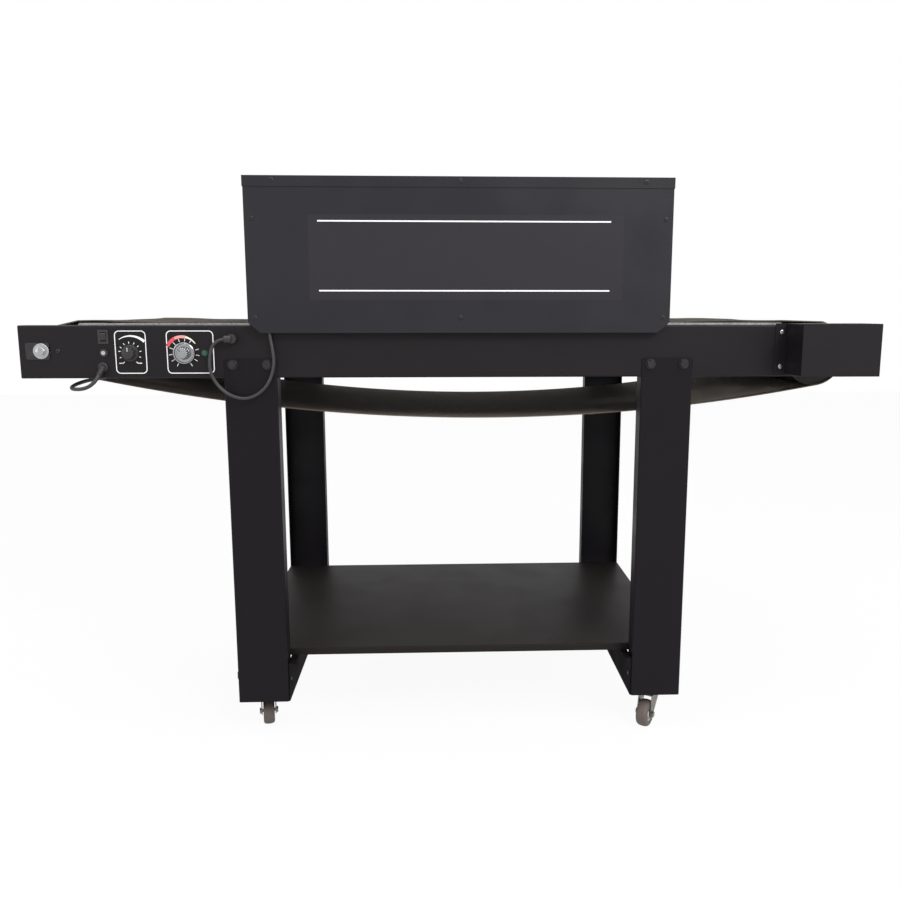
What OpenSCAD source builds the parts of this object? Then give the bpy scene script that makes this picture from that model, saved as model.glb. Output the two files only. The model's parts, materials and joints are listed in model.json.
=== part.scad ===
// Infrared conveyor dryer: a belt runs through a heated hood that stands on a wheeled frame.
// X runs along the belt, Y from the control side to the back and Z up from the floor.

/* [Conveyor frame] */
// Length of the side rails
frame_l = 1829; // [1700:1:2000]
// Width over the outer faces of the side rails
frame_w = 750; // [730:1:860]
// Height of the side rails
rail_h = 113; // [108:1:125]
// Sheet thickness of the side rails
rail_t = 2.7; // [2:0.1:3.2]
// Width of the rail flanges
rail_flange = 38; // [32:1:42]
// Height of the rail tops above the floor
rail_top_z = 947; // [920:1:980]

/* [Belt and rollers] */
// Width of the belt
belt_w = 610; // [560:1:616]
// Thickness of the belt
belt_t = 2; // [1.5:0.1:2.5]
// Diameter of the idler
roller_d = 88; // [80:1:89]
// Diameter of the drive roller
drive_d = 136; // [120:1:138]
// Distance from the left rail end to the idler's axis
axle_inset = 46.8; // [46.8:0.1:60]
// Depth of the idler's axis below the rail tops
axle_drop = 54.5; // [50:0.5:58]
// Distance from the right rail end to the drive roller's axis
drive_inset = 76; // [74:1:84]
// Depth of the drive roller's axis below the rail tops
drive_drop = 69.5; // [67:0.5:71]
// Drop of the return run below the rollers
belt_sag = 110; // [80:1:125]
// Offset of the lowest point of the return run from the frame's middle
belt_low_shift = 80; // [-60:1:100]
// Height of the slider bed above the rail tops
bed_rise = 4; // [2:0.5:6]
// Travel of the idler's take-up
take_up_travel = 12; // [6:1:14]

/* [Stand] */
// Length over the outer edges of the legs
stand_l = 1023; // [940:1:1060]
// Offset of the stand and the hood from the frame's middle
stand_shift = 26.5; // [0:0.5:40]
// Width of a leg
leg_w = 114; // [100:1:125]
// Depth of a leg's returns
leg_d = 40; // [34:1:46]
// Sheet thickness of the legs
leg_t = 3; // [2:0.1:4]
// Height of the leg that laps the rail
leg_lap = 40.6; // [34:0.2:50]
// Height of the shelf's top
shelf_z = 197.5; // [170:0.5:260]
// Depth of the shelf's rims
shelf_rim = 16; // [10:1:25]

/* [Hood] */
// Length over the lid
hood_l = 906; // [860:1:960]
// Height of the lid above the rail tops
hood_h = 307; // [290:1:340]
// Distance that the hood stands out from the rail faces
hood_proud = 21; // [18:1:26]
// Height of the hood panels that hangs below the rail tops
hood_lap = 16; // [10:1:22]
// Sheet thickness of the hood
hood_t = 1.5; // [1:0.1:2]
// Depth of the lid's rims
lid_rim = 22; // [16:1:30]
// Height of the tunnel mouths above the rail tops
tunnel_h = 81; // [70:1:90]
// Width of the tunnel mouths
tunnel_w = 640; // [632:1:660]

/* [Drive cover] */
// Length of the drive cover
cover_l = 170; // [165:1:190]
// Height of the drive cover
cover_h = 111; // [106:1:113]
// Depth of the drive cover
cover_d = 87; // [86:1:100]

/* [Casters] */
// Height of a caster
caster_h = 88; // [86:1:96]
// Diameter of a caster wheel
wheel_d = 63.5; // [58:0.5:65]
// Width of a caster wheel
wheel_w = 26; // [22:1:28]
// Distance from the swivel axis to the wheel's axle
caster_trail = 27; // [24:1:30]

/* [Controls] */
// Diameter of the speed knob's skirt
speed_knob_d = 36; // [30:1:38]
// Diameter of the temperature dial's bezel
dial_bezel_d = 46; // [42:1:48]
// Diameter of the temperature knob
temp_knob_d = 26; // [22:1:28]

/* [Hidden] */
$fn = 48;

// Clearances: between a turning fit, between parts that slide past, and past a cut face
fit_gap = 0.05;
seat_gap = 0.3;
overrun = 5;

// Frame: heights, faces and places along X
rail_z = rail_top_z - rail_h;
rail_y = frame_w / 2;
web_y = rail_y - rail_t;
flange_y = rail_y - rail_flange;
bend_r = 4;
frame_x = frame_l / 2;
idler_x = axle_inset - frame_x;
drive_x = frame_x - drive_inset;
drive_z = rail_top_z - drive_drop;
drive_r = drive_d / 2;
axle_z = rail_top_z - axle_drop;
screw_head_h = 1.8;
mid_y = (cover_d - hood_proud - screw_head_h) / 2;

// Belt, rollers and slider bed
roller_r = roller_d / 2;
roller_over = 5;
roller_wall = 3;
roller_disc_t = 8;
roller_l = belt_w + 2 * roller_over;
shaft_d = 19;
bed_t = 2;
bed_z = rail_top_z + bed_rise;
bed_end_gap = 8;
bed_end_rim = 26;
bed_x0 = idler_x + roller_r + bed_end_gap;
bed_x1 = drive_x - drive_r - bed_end_gap;
belt_arc_steps = 22;
belt_run_steps = 20;
low_z = axle_z - roller_r - belt_t - belt_sag;

// Cross members
cross_h = 40;
cross_flange = 25;
cross_t = 2.5;
cross_z = rail_top_z - rail_t - seat_gap - cross_h;
cross_place_shares = [-0.86, -0.25, 0.31, 0.78];

// Stand: leg places, caster places and shelf
leg_x = [stand_shift - stand_l / 2 + leg_w / 2, stand_shift + stand_l / 2 - leg_w / 2];
leg_face_y = rail_y + leg_t;
leg_z = caster_h;
leg_top_z = rail_z + leg_lap;
foot_t = 3;
foot_d = 80;
stretcher_t = 2.5;
stretcher_rim = 18;
stretcher_top_z = shelf_z - shelf_rim;
shelf_t = 2;
shelf_front_y = 330;
shelf_rear_y = 330;
shelf_corner = 12;
bolt_pitch = 74;
bolt_d = 10;
bolt_head_d = 17;
bolt_head_h = 6;
washer_d = 22;
washer_t = 1.6;
bolt_z = leg_top_z - leg_lap * 0.3;

// Hood: faces, heights and screws
hood_y = rail_y + hood_proud;
hood_top_z = rail_top_z + hood_h;
hood_z = rail_top_z - hood_lap;
hood_corner_w = 26;
hood_corner_h = 22;
hood_rim = 28;
screw_inset = 16.5;
screw_d = 5;
screw_head_d = 10;
pan_rim_h = 70;
pan_t = 1.2;
pan_w = 660;
pan_clearance = 98;
pan_z = rail_top_z + pan_clearance;
blanket_h = 50;
blanket_margin = 8;
heater_t = 24;
heater_l = 415;
heater_w = 590;
heater_gap = 16;
heater_z = pan_z + pan_rim_h * 0.24;
hanger_d = 8;
probe_d = 6;
probe_tip = 12;

// Drive: bearings, coupling and gearmotor, as depths out from the front rail face
bearing_w = 24;
bearing_l = 62;
bearing_h = 62;
bearing_boss_d = 44;
web_hole_d = 30;
coupling_d = 30;
coupling_w = 22;
coupling_gap = 4;
coupling_y = rail_y + coupling_gap;
gearbox_l = 104;
gearbox_h = 68;
gearbox_w = 30;
gearbox_gap = 3;
gearbox_y = coupling_y + coupling_w + gearbox_gap;
gearbox_shift = 24;
motor_d = 52;
motor_w = 24;
motor_shift = 50;
post_d = 10;
cover_t = 1.5;
cover_flange = 25;
cover_proud = 3.5;
cover_z = rail_top_z + cover_proud - cover_h;
cover_x = frame_x - cover_l;

// Take-up: slot, block and bolt
take_up_slot_h = 12;
take_up_spare = 3;
block_l = 34;
block_h = 44;
block_w = 20;
take_up_washer_d = 33;
take_up_washer_t = 2.5;
take_up_bolt_d = 10;
slide_plate_l = 50;
slide_plate_h = 36;
slide_plate_t = 1.5;
slide_plate_shift = 8;
stop_screw_gap = 34.5;
stop_screw_x = idler_x + stop_screw_gap;

// Controls on the front rail, as places along X and above the rail's lower edge
switch_inset = 178;
switch_x = switch_inset - frame_x;
switch_z = rail_z + rail_h * 0.785;
switch_w = 22;
switch_h = 30;
rocker_w = 15;
rocker_h = 22;
rocker_tilt = 8;
breaker_z = rail_z + rail_h * 0.484;
breaker_d = 17;
button_d = 9;
button_out = 6;
button_travel = 3;
relief_shift = 4;
relief_x = switch_x - relief_shift;
relief_z = rail_z + rail_h * 0.212;
speed_inset = 232.5;
speed_x = speed_inset - frame_x;
dial_z = rail_z + rail_h * 0.478;
knob_h = 17;
skirt_h = 3;
grip_share = 0.74;
pot_d = 25;
pot_w = 18;
spindle_d = 6;
temp_inset = 347;
temp_x = temp_inset - frame_x;
bezel_h = 5;
dial_plate_t = 1.2;
thermostat_l = 46;
thermostat_h = 54;
thermostat_w = 27;
pilot_inset = 391;
pilot_x = pilot_inset - frame_x;
pilot_d = 13;
pilot_out = 5;
control_0_inset = 157.5;
control_x0 = control_0_inset - frame_x;
tray_0_inset = 224.5;
tray_x0 = tray_0_inset - frame_x;
control_1_inset = 414.5;
control_x1 = control_1_inset - frame_x;
control_cover_t = 1.5;
tray_w = 17;
tray_lip = 5;
gland_inset = 451.5;
gland_x = gland_inset - frame_x;
gland_z = rail_z + rail_h * 0.75;
gland_d = 20;
gland_out = 16;
lead_clear = 0.4;

// Cords: diameters, routes and the coil
mains_d = 8;
lead_d = 7;
relief_base_d = 21;
relief_l = 20;
relief_lean_shares = [-0.34, -0.46, -0.82];
relief_out = 4;
mains_route = [
  [-753.6, -361.2, 828.6], [-758.8, -363.9, 823], [-765.2, -365.6, 818.4], [-772.6, -366.4, 815.2],
  [-780.4, -366.1, 813.4], [-789.8, -363.8, 812.6], [-798.3, -359.1, 812.5], [-805.2, -352.2, 813],
  [-809.9, -343.8, 814.2], [-812.1, -334.5, 815.9], [-811.5, -325.1, 818.1], [-807, -313.7, 821.2],
  [-798.8, -304.7, 824.4], [-787.8, -299.1, 827.1], [-775.4, -297.7, 829], [-755, -296, 834.5],
  [-725, -296, 838.5], [-690, -296, 840], [-600, -296, 840], [-505, -296, 840], [-484, -296, 840],
  [-471, -296.5, 837.5], [-460, -298, 831], [-452, -300, 822], [-446, -303, 810], [-442, -307, 795],
  [-439, -312, 775], [-436, -316, 752], [-434, -319, 725], [-434, -320, 690], [-434, -320, 500],
  [-434, -320, 300], [-434, -320, 133.7], [-434, -317.1, 119.2], [-434, -308.9, 106.8],
  [-434, -296.5, 98.6], [-434, -282, 95.7], [-434, -258, 95.4], [-434, -246.4, 93.9],
  [-434, -235.5, 89.4], [-434, -226.2, 82.2], [-434, -200, 51.3], [-434, -174.2, 20.5],
  [-434, -164.3, 11.7], [-434, -152.1, 6.1], [-434, -139.7, 4.4], [-435, -110, 4.4], [-439, -70, 4.4],
  [-444, -20, 4.4], [-448, 25, 4.4], [-449, 60, 4.4]
];
lead_route = [
  [-478, -357, 917.5], [-487.6, -357.3, 915.8], [-496, -358, 910.9], [-502.2, -359, 903.5], [-506, -360, 894],
  [-508.5, -361, 880], [-509.5, -361.5, 866], [-508.5, -362, 852], [-504.5, -362, 838.5], [-496, -362, 823.5],
  [-484, -362, 810], [-469.5, -362, 799.7], [-453, -362, 793.3], [-438, -362, 791.6], [-422, -362, 795],
  [-405.5, -361.5, 804.3], [-391.5, -361, 818.2], [-381, -360.5, 837.5], [-375.5, -360, 856.8],
  [-374, -359, 874], [-376, -357.5, 894], [-379.5, -355.5, 914], [-382, -354, 933], [-384, -352.5, 958],
  [-385, -351, 985], [-385, -349, 1015], [-385, -344, 1042], [-385, -334, 1062], [-385, -320, 1072],
  [-385, -306, 1074]
];
lead_end = lead_route[len(lead_route) - 1];
coil_c = [-500, 60];
coil_r = 51;
coil_half_turns = 3;
coil_turn_steps = 24;
coil_gap = 1.3;
coil_tail = 46;
coil_step = mains_d + coil_gap;
floor_gap = 0.4;
plug_l = 44;
plug_w = 27;
plug_h = 26;
plug_nose_l = 14;
pin_l = 17;

// Casters: fork, head bearing and how each one stands turned
plate_l = 92;
plate_w = 60;
plate_t = 2.5;
head_d = 46;
head_h = 8;
fork_t = 2.5;
fork_gap = 2;
axle_d = 8;
axle_head_d = 13;
axle_head_h = 4;
hub_d = 34;
hub_recess = 2.5;
caster_inset = 46;
caster_y = rail_y - caster_inset;
caster_turns = [102, 235, 60, 130];

// Places and copies

module at_mid() translate([0, mid_y, 0]) children();
module to_rear() mirror([0, 1, 0]) children();
module along_x(l) rotate([90, 0, 90]) linear_extrude(l) children();
module along_y(l) rotate([90, 0, 0]) linear_extrude(l, center = true) children();
module rod_y(d, l) rotate([90, 0, 0]) cylinder(d = d, h = l, center = true);
module rod_x(d, l) rotate([0, 90, 0]) cylinder(d = d, h = l, center = true);
module pipe_y(d, bore, l) difference() { rod_y(d, l); rod_y(bore, l + overrun); }

// The shape between a square corner and its rounding, with the corner at the origin
module corner_2d(r) difference() { square(r); translate([r, r]) circle(r); }

// A centred rectangle with rounded corners
module plate_2d(w, h, r) {
  square([w - 2 * r, h], center = true);
  square([w, h - 2 * r], center = true);
  for (x = [-1, 1], y = [-1, 1]) translate([x * (w / 2 - r), y * (h / 2 - r)]) circle(r);
}

// A channel with its web on the Y axis and its flanges towards +X
module channel_2d(web, flange, t, r) {
  difference() {
    square([flange, web]);
    translate([t, t]) square([flange, web - 2 * t]);
    corner_2d(r);
    translate([0, web]) mirror([0, 1]) corner_2d(r);
  }
  translate([t, t]) corner_2d(r - t);
  translate([t, web - t]) mirror([0, 1]) corner_2d(r - t);
}

module slot_y(d, l, depth) {
  rotate([90, 0, 0]) linear_extrude(depth, center = true) {
    translate([-l / 2, 0]) circle(d = d);
    translate([l / 2, 0]) circle(d = d);
    square([l, d], center = true);
  }
}

// A hexagon across flats
module hex_y(flats, h) rotate([90, 0, 0]) rotate([0, 0, 30]) cylinder(d = flats / cos(30), h = h, center = true, $fn = 6);

// Side rails

module rail_blank() {
  translate([-frame_x, -rail_y, rail_z]) along_x(frame_l) channel_2d(rail_h, rail_flange, rail_t, bend_r);
}

module take_up_slot() {
  translate([idler_x + take_up_travel / 2, -rail_y, axle_z])
    slot_y(take_up_slot_h, take_up_travel + 2 * take_up_spare, rail_t * 4);
}

module rail_common_holes() {
  take_up_slot();
  translate([drive_x, -rail_y, drive_z]) rod_y(web_hole_d, rail_t * 4);
  translate([stop_screw_x, -rail_y, axle_z]) rod_y(screw_d + 2 * seat_gap, rail_t * 4);
  for (x = leg_x, s = [-1, 1]) translate([x + s * bolt_pitch / 2, -rail_y, bolt_z]) rod_y(bolt_d + 2 * seat_gap, rail_t * 4);
}

module control_holes() {
  translate([switch_x, -rail_y, switch_z]) cube([rocker_w + 3 * seat_gap, rail_t * 4, rocker_h + 3 * seat_gap], center = true);
  translate([switch_x, -rail_y, breaker_z]) rod_y(breaker_d * 0.7 + 2 * seat_gap, rail_t * 4);
  translate([relief_x, -rail_y, relief_z]) rod_y(mains_d + 2 * seat_gap, rail_t * 4);
  translate([speed_x, -rail_y, dial_z]) rod_y(spindle_d + 4 * seat_gap, rail_t * 4);
  translate([temp_x, -rail_y, dial_z]) rod_y(spindle_d + 4 * seat_gap, rail_t * 4);
  translate([pilot_x, -rail_y, dial_z]) rod_y(pilot_d * 0.8 + 2 * seat_gap, rail_t * 4);
  translate([gland_x, -rail_y, gland_z]) rod_y(gland_d * 0.7 + 2 * seat_gap, rail_t * 4);
}

module front_side_rail() {
  at_mid() color([0.10, 0.10, 0.11]) difference() {
    rail_blank();
    rail_common_holes();
    control_holes();
    for (p = cover_screws()) translate([p[0], -rail_y, p[1]]) rod_y(screw_d + 2 * seat_gap, rail_t * 4);
  }
}

module rear_side_rail() {
  at_mid() to_rear() color([0.10, 0.10, 0.11]) difference() {
    rail_blank();
    rail_common_holes();
  }
}

module cross_members() {
  at_mid() color([0.16, 0.16, 0.17]) for (s = cross_place_shares) {
    translate([s * frame_x, web_y - seat_gap, cross_z]) rotate([90, 0, 0])
      linear_extrude(2 * (web_y - seat_gap)) channel_2d(cross_h, cross_flange, cross_t, bend_r);
  }
}

// The bed is a sheet with rims folded down at its sides and rounded ends that lead the belt on
module slider_bed() {
  bed_l = bed_x1 - bed_x0;
  side_rim = bed_z - (cross_z + cross_h);
  at_mid() color([0.45, 0.46, 0.47]) {
    translate([bed_x0, 0, 0]) along_y(belt_w) difference() {
      translate([0, bed_z - bed_end_rim]) square([bed_l, bed_end_rim]);
      translate([bed_t, bed_z - bed_end_rim - overrun]) square([bed_l - 2 * bed_t, bed_end_rim - bed_t + overrun]);
      translate([0, bed_z]) mirror([0, 1]) corner_2d(bend_r);
      translate([bed_l, bed_z]) rotate(180) corner_2d(bend_r);
    }
    for (s = [-1, 1]) translate([bed_x0 + bed_t, s * (belt_w / 2 - bed_t / 2) - bed_t / 2, bed_z - side_rim])
      cube([bed_l - 2 * bed_t, bed_t, side_rim - bed_t]);
  }
}

// Legs: folded channels with a tab that laps the rail and a foot plate for the caster

module leg_at(x) {
  difference() {
    translate([x, 0, leg_z]) union() {
      translate([-leg_w / 2, -leg_face_y, 0]) linear_extrude(leg_top_z - leg_z) leg_profile();
      translate([-leg_w / 2 + leg_t, -leg_face_y + leg_t, 0]) cube([leg_w - 2 * leg_t, foot_d - leg_t, foot_t]);
    }
    translate([x, -leg_face_y + leg_t + leg_d, rail_z - seat_gap + leg_top_z / 2])
      cube([leg_w + overrun, 2 * leg_d, leg_top_z], center = true);
    for (s = [-1, 1]) {
      translate([x + s * bolt_pitch / 2, -leg_face_y, bolt_z]) rod_y(bolt_d + 2 * seat_gap, leg_t * 4);
      // clipped corners of the lapping tab
      translate([x + s * leg_w / 2, -leg_face_y + leg_t / 2, leg_top_z]) rotate([0, 45, 0])
        cube([bend_r * 2, leg_t * 2, bend_r * 2], center = true);
    }
  }
}

module leg_profile() {
  difference() {
    square([leg_w, leg_d]);
    translate([leg_t, leg_t]) square([leg_w - 2 * leg_t, leg_d]);
    corner_2d(bend_r);
    translate([leg_w, 0]) mirror([1, 0]) corner_2d(bend_r);
  }
  translate([leg_t, leg_t]) corner_2d(bend_r - leg_t);
  translate([leg_w - leg_t, leg_t]) mirror([1, 0]) corner_2d(bend_r - leg_t);
}

module front_left_leg() { at_mid() color([0.09, 0.09, 0.10]) leg_at(leg_x[0]); }
module front_right_leg() { at_mid() color([0.09, 0.09, 0.10]) leg_at(leg_x[1]); }
module rear_left_leg() { at_mid() to_rear() color([0.09, 0.09, 0.10]) leg_at(leg_x[0]); }
module rear_right_leg() { at_mid() to_rear() color([0.09, 0.09, 0.10]) leg_at(leg_x[1]); }

// Side stretchers: panels between the legs of one side, with the shelf on their upper rims
module stretcher(x) {
  translate([x, 0, 0]) along_y(2 * rail_y) difference() {
    translate([0, leg_z]) square([stretcher_rim, stretcher_top_z - leg_z]);
    translate([stretcher_t, leg_z - overrun]) square([stretcher_rim, stretcher_top_z - leg_z - stretcher_t + overrun]);
    translate([0, stretcher_top_z]) mirror([0, 1]) corner_2d(bend_r);
  }
}

function inner_leg_x(i) = i == 0 ? leg_x[0] + leg_w / 2 : leg_x[1] - leg_w / 2;

module left_side_stretcher() { at_mid() color([0.10, 0.10, 0.11]) stretcher(inner_leg_x(0)); }
module right_side_stretcher() { at_mid() color([0.10, 0.10, 0.11]) mirror([1, 0, 0]) stretcher(-inner_leg_x(1)); }

module shelf() {
  x0 = inner_leg_x(0) + stretcher_t + seat_gap;
  x1 = inner_leg_x(1) - stretcher_t - seat_gap;
  z0 = shelf_z - shelf_rim;
  at_mid() color([0.17, 0.17, 0.18]) {
    difference() {
      translate([x0, -shelf_front_y, z0]) cube([x1 - x0, shelf_front_y + shelf_rear_y, shelf_rim]);
      translate([x0 + shelf_t, -shelf_front_y + shelf_t, z0 - overrun])
        cube([x1 - x0 - 2 * shelf_t, shelf_front_y + shelf_rear_y - 2 * shelf_t, shelf_rim - shelf_t + overrun]);
    }
  }
}

// Bolts, washers and nuts that hold the legs, and the screws of the side stretchers
module frame_bolts() {
  at_mid() color([0.13, 0.13, 0.14]) for (r = [0, 1], x = leg_x, s = [-1, 1]) mirror([0, r, 0])
    translate([x + s * bolt_pitch / 2, 0, bolt_z]) {
      translate([0, -leg_face_y - washer_t / 2, 0]) rod_y(washer_d, washer_t);
      translate([0, -leg_face_y - washer_t - bolt_head_h / 2, 0]) hex_y(bolt_head_d, bolt_head_h);
      translate([0, -web_y + bolt_d / 2 - leg_t, 0]) rod_y(bolt_d, 2 * leg_t + bolt_d);
      translate([0, -web_y + bolt_d * 0.4, 0]) hex_y(bolt_head_d, bolt_d * 0.8);
    }
  at_mid() color([0.7, 0.7, 0.72]) for (i = [0, 1], y = [-1, 1])
    translate([inner_leg_x(i) + (i == 0 ? 1 : -1) * (stretcher_t + screw_head_h / 2), y * (rail_y - leg_d / 2),
      (leg_z + stretcher_top_z) / 2]) rod_x(screw_head_d, screw_head_h);
}

// Hood

module hood_side_2d() {
  x0 = hood_l / 2 - hood_t;
  difference() {
    translate([-x0, hood_z]) square([2 * x0, hood_top_z - hood_t - hood_z]);
    for (s = [-1, 1]) translate([s * x0, hood_z]) polygon([
      [0, 0], [0, hood_corner_h], [-s * hood_corner_w, 0]]);
    for (p = concat(hood_screw_places(), lid_screw_places())) translate([p[0], p[1]]) circle(d = screw_d + 2 * seat_gap);
  }
}

// Screws through the hood's side panels, as places from the hood's middle
function hood_screw_places() = concat(
  [for (s = [-1, 1], z = [hood_z + hood_lap * 2, hood_top_z - hood_h * 0.28]) [s * (hood_l / 2 - screw_inset), z]],
  [[0, hood_z + hood_lap * 2]]
);
function lid_screw_places() = [for (s = [-0.865, 0, 0.865]) [s * hood_l / 2, hood_top_z - lid_rim * 0.42]];

module hood_side_panel() {
  translate([stand_shift, -hood_y + hood_t + hood_t / 2, 0]) along_y(hood_t) hood_side_2d();
}

module hood_front_panel() { at_mid() color([0.08, 0.08, 0.10]) hood_side_panel(); }
module hood_rear_panel() { at_mid() to_rear() color([0.08, 0.08, 0.10]) hood_side_panel(); }

// An end panel stands on the rails, with rims for the side panels' screws and the tunnel's mouth
module hood_end() {
  y1 = hood_y - 2 * hood_t - seat_gap;
  x1 = hood_l / 2 - hood_t;
  difference() {
    union() {
      translate([x1 - hood_t, -y1, rail_top_z]) cube([hood_t, 2 * y1, hood_top_z - hood_t - rail_top_z]);
      for (s = [0, 1]) mirror([0, s, 0]) {
        translate([x1 - hood_rim, -y1, rail_top_z + hood_corner_h]) cube([hood_rim, hood_t, hood_top_z - 2 * hood_t - lid_rim - rail_top_z - hood_corner_h]);
        translate([x1 - hood_rim, -rail_y, rail_top_z]) cube([hood_rim, rail_y - tunnel_w / 2, hood_t]);
      }
    }
    translate([x1 - hood_rim - overrun, -tunnel_w / 2, rail_top_z - overrun]) cube([hood_rim + 2 * overrun, tunnel_w, tunnel_h + overrun]);
    for (s = [0, 1]) mirror([0, s, 0]) {
      translate([x1 - hood_t - overrun, -y1 - overrun, rail_top_z - overrun]) cube([2 * overrun, y1 - rail_y + overrun, hood_corner_h + overrun]);
      for (p = hood_screw_places()) if (p[0] > 0) translate([p[0], -y1, p[1]]) rod_y(screw_d + 2 * seat_gap, 4 * hood_t);
    }
  }
}

module hood_left_end() { at_mid() color([0.08, 0.08, 0.10]) translate([stand_shift, 0, 0]) mirror([1, 0, 0]) hood_end(); }
module hood_right_end() { at_mid() color([0.08, 0.08, 0.10]) translate([stand_shift, 0, 0]) hood_end(); }

// The lid is a shallow tray turned over the four panels
module hood_lid() {
  at_mid() color([0.08, 0.08, 0.10]) translate([stand_shift, 0, 0]) difference() {
    translate([0, 0, hood_top_z - lid_rim]) linear_extrude(lid_rim) plate_2d(hood_l, 2 * hood_y, hood_t);
    translate([0, 0, hood_top_z - lid_rim - overrun]) linear_extrude(lid_rim + overrun - hood_t)
      square([hood_l - 2 * hood_t, 2 * (hood_y - hood_t)], center = true);
    for (r = [0, 1], p = lid_screw_places()) mirror([0, r, 0])
      translate([p[0], -hood_y, p[1]]) rod_y(screw_d + 2 * seat_gap, 4 * hood_t);
  }
}

// Stand-off brackets from the rail tops to the middle of the hood's side panels
module hood_brackets() {
  reach = hood_y - 2 * hood_t - seat_gap;
  h = 2 * hood_lap + screw_head_d;
  at_mid() color([0.12, 0.12, 0.13]) for (r = [0, 1]) mirror([0, r, 0]) difference() {
    translate([stand_shift - hood_rim / 2, 0, rail_top_z]) along_x(hood_rim) polygon([
      [-flange_y, 0], [-reach, 0], [-reach, h], [-reach + cross_t, h], [-reach + cross_t, cross_t], [-flange_y, cross_t]]);
    translate([stand_shift, -reach, hood_z + hood_lap * 2]) rod_y(screw_d + 2 * seat_gap, 4 * cross_t);
  }
}

// Screws of the hood, the lid and the drive cover
module pan_head(d) {
  translate([0, -screw_head_h / 2, 0]) rod_y(screw_head_d, screw_head_h);
  translate([0, hood_t * 2, 0]) rod_y(d, 4 * hood_t);
}

function cover_screws() = [for (z = [0.17, 0.85]) [cover_x - cover_flange * 0.42, cover_z + cover_h * (1 - z)]];

module panel_screws() {
  at_mid() color([0.75, 0.75, 0.78]) {
    for (r = [0, 1]) mirror([0, r, 0]) {
      for (p = hood_screw_places()) translate([stand_shift + p[0], -hood_y + hood_t, p[1]]) pan_head(screw_d);
      for (p = lid_screw_places()) translate([stand_shift + p[0], -hood_y, p[1]]) pan_head(screw_d);
      translate([stop_screw_x, -rail_y, axle_z]) pan_head(screw_d);
    }
    for (p = cover_screws()) translate([p[0], -rail_y - cover_t, p[1]]) pan_head(screw_d);
  }
}

// Heating chamber

module reflector_pan() {
  l = hood_l - 4 * hood_t - 2 * seat_gap;
  at_mid() color([0.72, 0.73, 0.75]) translate([stand_shift, 0, 0]) difference() {
    translate([-l / 2, -pan_w / 2, pan_z]) cube([l, pan_w, pan_rim_h]);
    translate([-l / 2 + pan_t, -pan_w / 2 + pan_t, pan_z - overrun]) cube([l - 2 * pan_t, pan_w - 2 * pan_t, pan_rim_h - pan_t + overrun]);
    translate([lead_end[0] - stand_shift, -pan_w / 2, lead_end[2]]) rod_y(lead_d + 2 * seat_gap, 4 * pan_t);
    translate([0, 0, pan_z + pan_rim_h]) cylinder(d = probe_d + 2 * seat_gap, h = 4 * pan_t, center = true);
  }
}

module insulation_blanket() {
  l = hood_l - 4 * hood_t - 2 * blanket_margin;
  at_mid() color([0.93, 0.92, 0.88]) translate([stand_shift, 0, pan_z + pan_rim_h + seat_gap])
    linear_extrude(blanket_h) difference() {
      plate_2d(l, pan_w - 2 * blanket_margin, blanket_margin);
      circle(d = probe_tip * 2);
    }
}

module heater_panels() {
  at_mid() for (s = [-1, 1]) translate([stand_shift + s * (heater_l + heater_gap) / 2, 0, heater_z]) {
    color([0.30, 0.28, 0.26]) linear_extrude(heater_t) plate_2d(heater_l, heater_w, bend_r);
  }
}

module heater_hangers() {
  h = pan_z + pan_rim_h - pan_t - heater_z - heater_t;
  at_mid() color([0.7, 0.7, 0.72]) for (s = [-1, 1], a = [-0.4, 0.4], b = [-0.4, 0.4])
    translate([stand_shift + s * (heater_l + heater_gap) / 2 + a * heater_l, b * heater_w, heater_z + heater_t])
      cylinder(d = hanger_d, h = h);
}

module temperature_probe() {
  top = pan_z + pan_rim_h;
  at_mid() color([0.8, 0.8, 0.82]) translate([stand_shift, 0, 0]) {
    translate([0, 0, heater_z - probe_tip]) cylinder(d = probe_d, h = top - heater_z + 2 * probe_tip);
    translate([0, 0, top + seat_gap]) cylinder(d = probe_tip, h = probe_tip, $fn = 6);
  }
}

// Belt: two arcs round the rollers, a top run over the bed and a hanging return run
// The angle at which the return run leaves a roller, found by repeated substitution
// Each takes the axis height z and the belt's distance r from that axis, c being the same at the idler
function leave_angle(run, z, r, c, a, n) = n == 0 ? a
  : leave_angle(run, z, r, c, atan(2 * (z - r * cos(a) - low_z_at(c)) / (run - r * sin(a))), n - 1);
function low_z_at(c) = low_z + roller_r + belt_t + seat_gap - c;
// The angle at which the top run leaves a roller, tangent to it and over the bed's end
function rise_angle(z, r, c) = let (dx = bed_end_gap + r - c + roller_r, dz = bed_z + c - roller_r - z)
  atan2(dz, dx) + acos(r / norm([dx, dz])) - 90;

function roller_arc(x, z, r, a0, a1) = [for (i = [0 : belt_arc_steps]) let (a = a0 + (a1 - a0) * i / belt_arc_steps)
  [x + r * cos(a), z + r * sin(a)]];
function half_run(p, low, from, to) = [for (i = [from : to]) let (t = i / belt_run_steps)
  [low[0] + (p[0] - low[0]) * t, low[1] + (p[1] - low[1]) * t * t]];

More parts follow.
